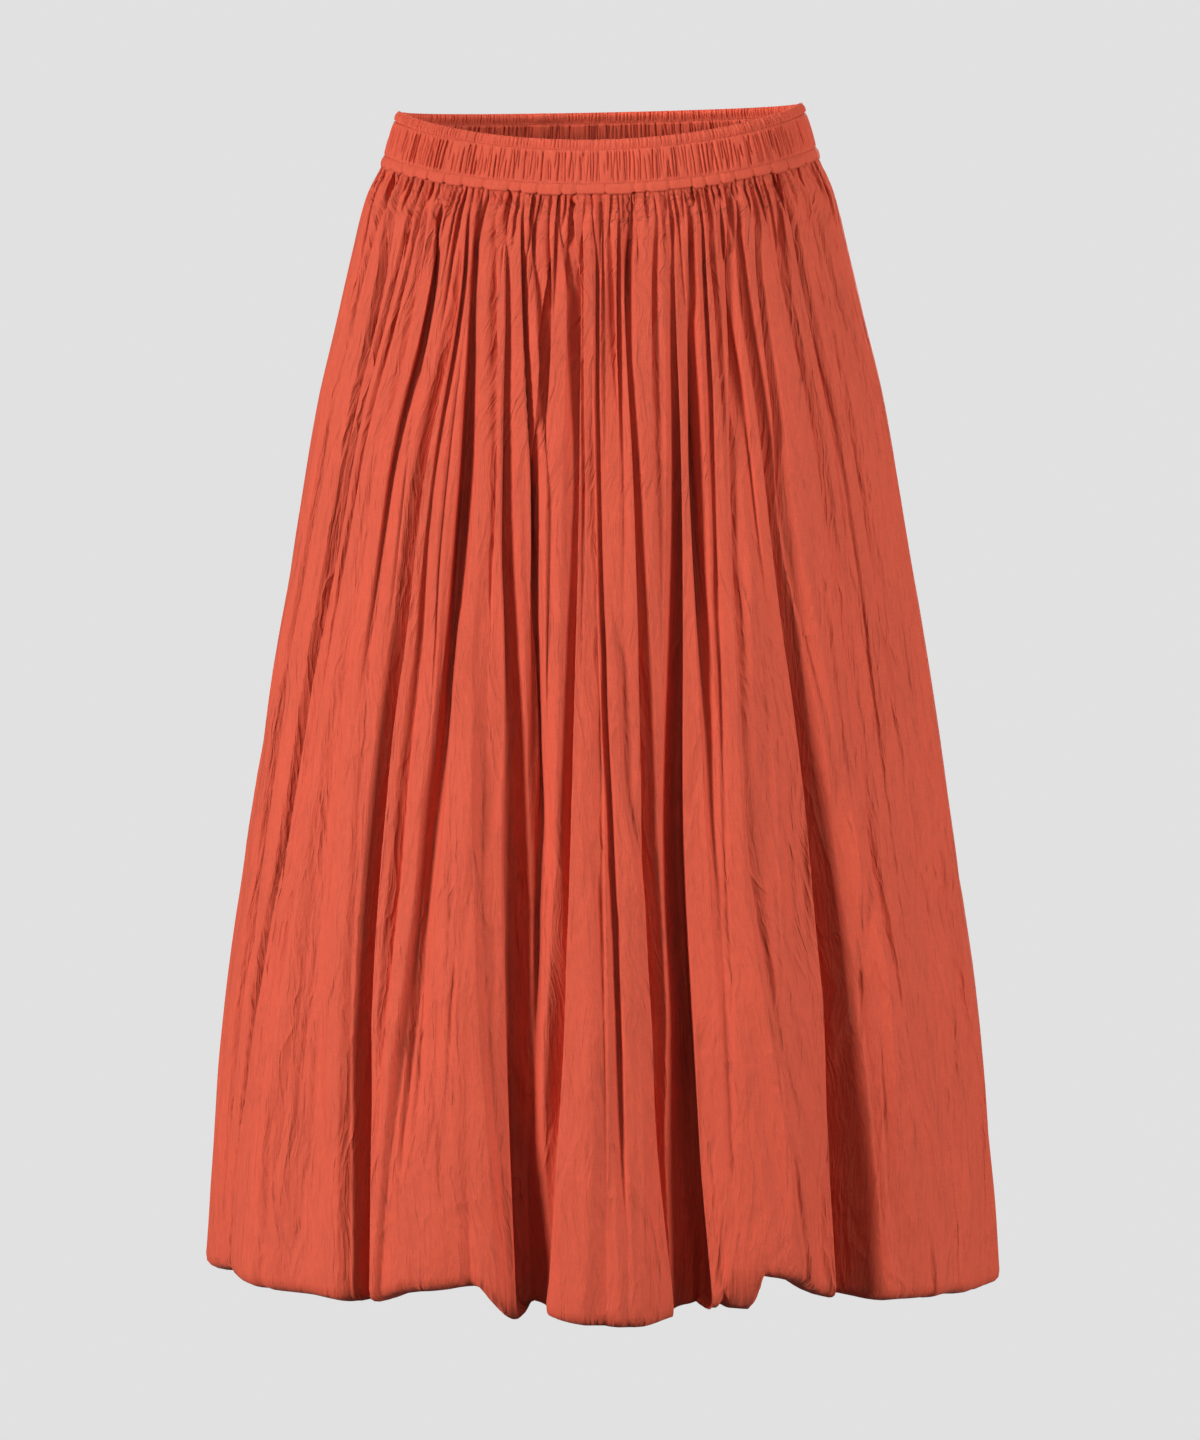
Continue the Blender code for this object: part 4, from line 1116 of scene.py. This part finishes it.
def add_stitching(settings):
    """The two lines of stitching round the waistband, on its outside and inside.
    Each stitch is a spindle: rings of six points along its own line, whose radius
    falls off as the root of 1 - t**2, shut by a flat end."""
    lines = [stitch_rows(*line) for line in STITCH_LINES]
    place = np.concatenate([line[0] for line in lines])
    lie = np.concatenate([line[1] for line in lines])
    up = np.array((0.0, 0.0, 1.0))
    across = np.cross(lie, up)
    along = np.array((-0.98, -0.6, 0.0, 0.6, 0.98))
    turn = np.arange(6) / 6 * 2 * pi
    radius = STITCH_RADIUS * np.sqrt(1 - along ** 2)
    ring = across[:, None, None, :] * np.cos(turn)[:, None] + up * np.sin(turn)[:, None]
    points = place[:, None, None, :] + (lie[:, None, None, :] * along[:, None, None] * STITCH_HALF
                                        + ring * radius[:, None, None])
    wall = grid_faces(len(along), 6, close_columns=True)
    last = 6 * (len(along) - 1)
    ends = np.array(((3, 2, 1, 0), (5, 4, 3, 0), (last, last + 1, last + 2, last + 3),
                     (last, last + 3, last + 4, last + 5)))
    one = np.concatenate((wall[:, ::-1], ends[:, ::-1]))
    quads = (one[None] + np.arange(len(place))[:, None, None] * 6 * len(along)).reshape(-1, 4)
    flat = points.reshape(-1, 3)
    piece = cloth_piece("waistband_stitching", flat, quads, flat[:, :2], thread(settings))
    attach(piece, "root")
    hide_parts("waistband")
    return piece


def add_hem_band(settings):
    """The inner band that the hem's cloth is gathered onto: a flat closed ring,
    whose section is the six corners (inset in mm, height) joined round."""
    around = np.arange(HEM_BAND_COLUMNS) / HEM_BAND_COLUMNS * 4
    angle = ring_angle(around)
    ripple = HEM_BAND_RIPPLE * np.sin(around * 2 * pi * HEM_BAND_RIPPLES)
    middle = (HEM_BAND_BOTTOM + HEM_BAND_TOP) / 2
    section = ((70.6, HEM_BAND_BOTTOM), (70.2, middle), (70.6, HEM_BAND_TOP),
               (71.4, HEM_BAND_TOP), (71.8, middle), (71.4, HEM_BAND_BOTTOM))
    points = np.array([ring_points(angle, HEM_HALF_WIDTH, HEM_HALF_DEPTH, inset * MM + ripple,
                                   0, height) for inset, height in section])
    rows = len(section)
    quads = grid_faces(rows, len(around), close_rows=True, close_columns=True)
    along = around[None, :] * HEM_BAND_QUARTER
    down = np.arange(rows)[:, None] * HEM_BAND_ROW
    uv = np.stack(np.broadcast_arrays(along, down), -1)
    piece = cloth_piece("hem_band_cloth", points.reshape(-1, 3), quads, uv.reshape(-1, 2),
                        cotton("skirt cotton", settings))
    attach(piece, "root")
    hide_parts("hem_band")
    return piece


# --- Stage ---


def add_area_light(name, place, target, size, power):
    """A round soft light at place that shines at target; the camera doesn't see it."""
    light = bpy.data.lights.new(name, "AREA")
    light.shape = "DISK"
    light.size = size
    light.energy = power
    lamp = bpy.data.objects.new(name, light)
    lamp.location = place
    lamp.visible_camera = False
    lamp.rotation_euler = (Vector(target) - Vector(place)).to_track_quat("-Z", "Y").to_euler()
    bpy.context.scene.collection.objects.link(lamp)
    return lamp


def backdrop_material(settings):
    """Pale seamless paper: evenly lit from the front, and clear from behind so
    that the skirt shows from every side."""
    material = bpy.data.materials.new("backdrop paper")
    material.use_nodes = True
    tree = material.node_tree
    tree.nodes.clear()
    glow = node(tree, "ShaderNodeEmission", [("Strength", camera_share(tree))],
                inputs={"Color": (*settings.backdrop_colour, 1.0)})
    clear = node(tree, "ShaderNodeBsdfTransparent")
    facing = node(tree, "ShaderNodeNewGeometry")
    mix = node(tree, "ShaderNodeMixShader", [(0, facing.outputs["Backfacing"]),
                                             (1, glow.outputs[0]), (2, clear.outputs[0])])
    node(tree, "ShaderNodeOutputMaterial", [("Surface", mix.outputs[0])])
    return material


def add_backdrop(settings):
    """A round seamless studio: a flat floor whose edge sweeps up into a wall."""
    floor_height = CAD_BOX[0][2] - FLOOR_DROP
    floor_radius, wall_radius, wall_height = 6.0, 8.0, 7.0
    bend = np.linspace(0, pi / 2, 12)
    sweep = wall_radius - floor_radius
    radius = np.concatenate(([0.001, 2.0, 4.0], floor_radius + sweep * np.sin(bend), [wall_radius]))
    height = np.concatenate(([0.0, 0.0, 0.0], sweep * (1 - np.cos(bend)), [wall_height]))
    height = height + floor_height
    angle = np.arange(96) / 96 * 2 * pi
    points = np.stack((radius[:, None] * np.sin(angle), -radius[:, None] * np.cos(angle),
                       height[:, None] + 0 * angle), -1)
    quads = grid_faces(len(radius), len(angle), close_columns=True)
    uv = points.reshape(-1, 3)[:, :2]
    floor = cloth_piece("studio_floor", points.reshape(-1, 3), quads, uv,
                        backdrop_material(settings))
    return floor


def add_camera():
    """The camera, a little above the middle of the skirt and looking slightly down."""
    data = bpy.data.cameras.new("camera")
    data.lens = CAMERA_LENS
    data.sensor_width = 36.0
    data.clip_end = 40.0
    camera = bpy.data.objects.new("camera", data)
    camera.location = CAMERA_PLACE
    aim = Vector(CAMERA_AIM) - camera.location
    camera.rotation_euler = aim.to_track_quat("-Z", "Y").to_euler()
    bpy.context.scene.collection.objects.link(camera)
    bpy.context.scene.camera = camera


def camera_share(tree):
    """Strength of the pale surround: full where the camera sees it, and only
    AMBIENT of that where it lights the skirt."""
    path = node(tree, "ShaderNodeLightPath")
    seen = maths(tree, "MULTIPLY", path.outputs["Is Camera Ray"], 1 - AMBIENT)
    return maths(tree, "ADD", AMBIENT, seen)


def add_world(settings):
    """An even pale surround."""
    world = bpy.data.worlds.new("studio")
    world.use_nodes = True
    tree = world.node_tree
    back = tree.nodes["Background"]
    back.inputs["Color"].default_value = (*settings.backdrop_colour, 1.0)
    tree.links.new(camera_share(tree), back.inputs["Strength"])
    bpy.context.scene.world = world


# --- Operators, panel and registration ---


class SKIRT_OT_panels(bpy.types.Operator):
    """Builds the front and back panels of the skirt"""

    bl_idname = "skirt.panels"
    bl_label = "Skirt Panels"

    def execute(self, context):
        settings = context.scene.skirt
        around, ring = skirt_ring(settings)
        for name, node_name, start in (("front_panel_cloth", "front_panel", 0.0),
                                       ("back_panel_cloth", "back_panel", 2.0)):
            piece = add_panel(name, node_name, start, settings, ring, around)
        return {"FINISHED"}


class SKIRT_OT_waistband(bpy.types.Operator):
    """Builds the gathered elastic waistband"""

    bl_idname = "skirt.waistband"
    bl_label = "Waistband"

    def execute(self, context):
        settings = context.scene.skirt
        band = add_waistband(settings)
        stitching = add_stitching(settings)
        return {"FINISHED"}


class SKIRT_OT_hem_band(bpy.types.Operator):
    """Builds the inner band that holds the hem"""

    bl_idname = "skirt.hem_band"
    bl_label = "Hem Band"

    def execute(self, context):
        band = add_hem_band(context.scene.skirt)
        return {"FINISHED"}


class SKIRT_OT_stage(bpy.types.Operator):
    """Builds the floor, the lights and the camera"""

    bl_idname = "skirt.stage"
    bl_label = "Studio"

    def execute(self, context):
        settings = context.scene.skirt
        add_backdrop(settings)
        for light in LIGHTS:
            add_area_light(*light)
        add_world(settings)
        add_camera()
        context.scene.view_settings.view_transform = "Standard"
        return {"FINISHED"}


class SKIRT_PT_panel(bpy.types.Panel):
    """The skirt's sizes and the buttons that build its pieces"""

    bl_label = "Balloon Skirt"
    bl_idname = "SKIRT_PT_panel"
    bl_space_type = "VIEW_3D"
    bl_region_type = "UI"
    bl_category = "Skirt"

    def draw(self, context):
        layout = self.layout
        settings = context.scene.skirt
        for name in settings.bl_rna.properties.keys():
            if name not in ("rna_type", "name"):
                layout.prop(settings, name)
        for operator in OPERATORS:
            layout.operator(operator.bl_idname)


OPERATORS = (SKIRT_OT_waistband, SKIRT_OT_hem_band, SKIRT_OT_panels, SKIRT_OT_stage)
CLASSES = (SkirtSettings,) + OPERATORS + (SKIRT_PT_panel,)


def register():
    for cls in CLASSES:
        bpy.utils.register_class(cls)
    bpy.types.Scene.skirt = PointerProperty(type=SkirtSettings)


def unregister():
    del bpy.types.Scene.skirt
    for cls in reversed(CLASSES):
        bpy.utils.unregister_class(cls)


def main():
    """Builds every piece and the stage."""
    register()
    bpy.ops.skirt.waistband()
    bpy.ops.skirt.hem_band()
    bpy.ops.skirt.panels()
    bpy.ops.skirt.stage()


if __name__ == "__main__":
    main()
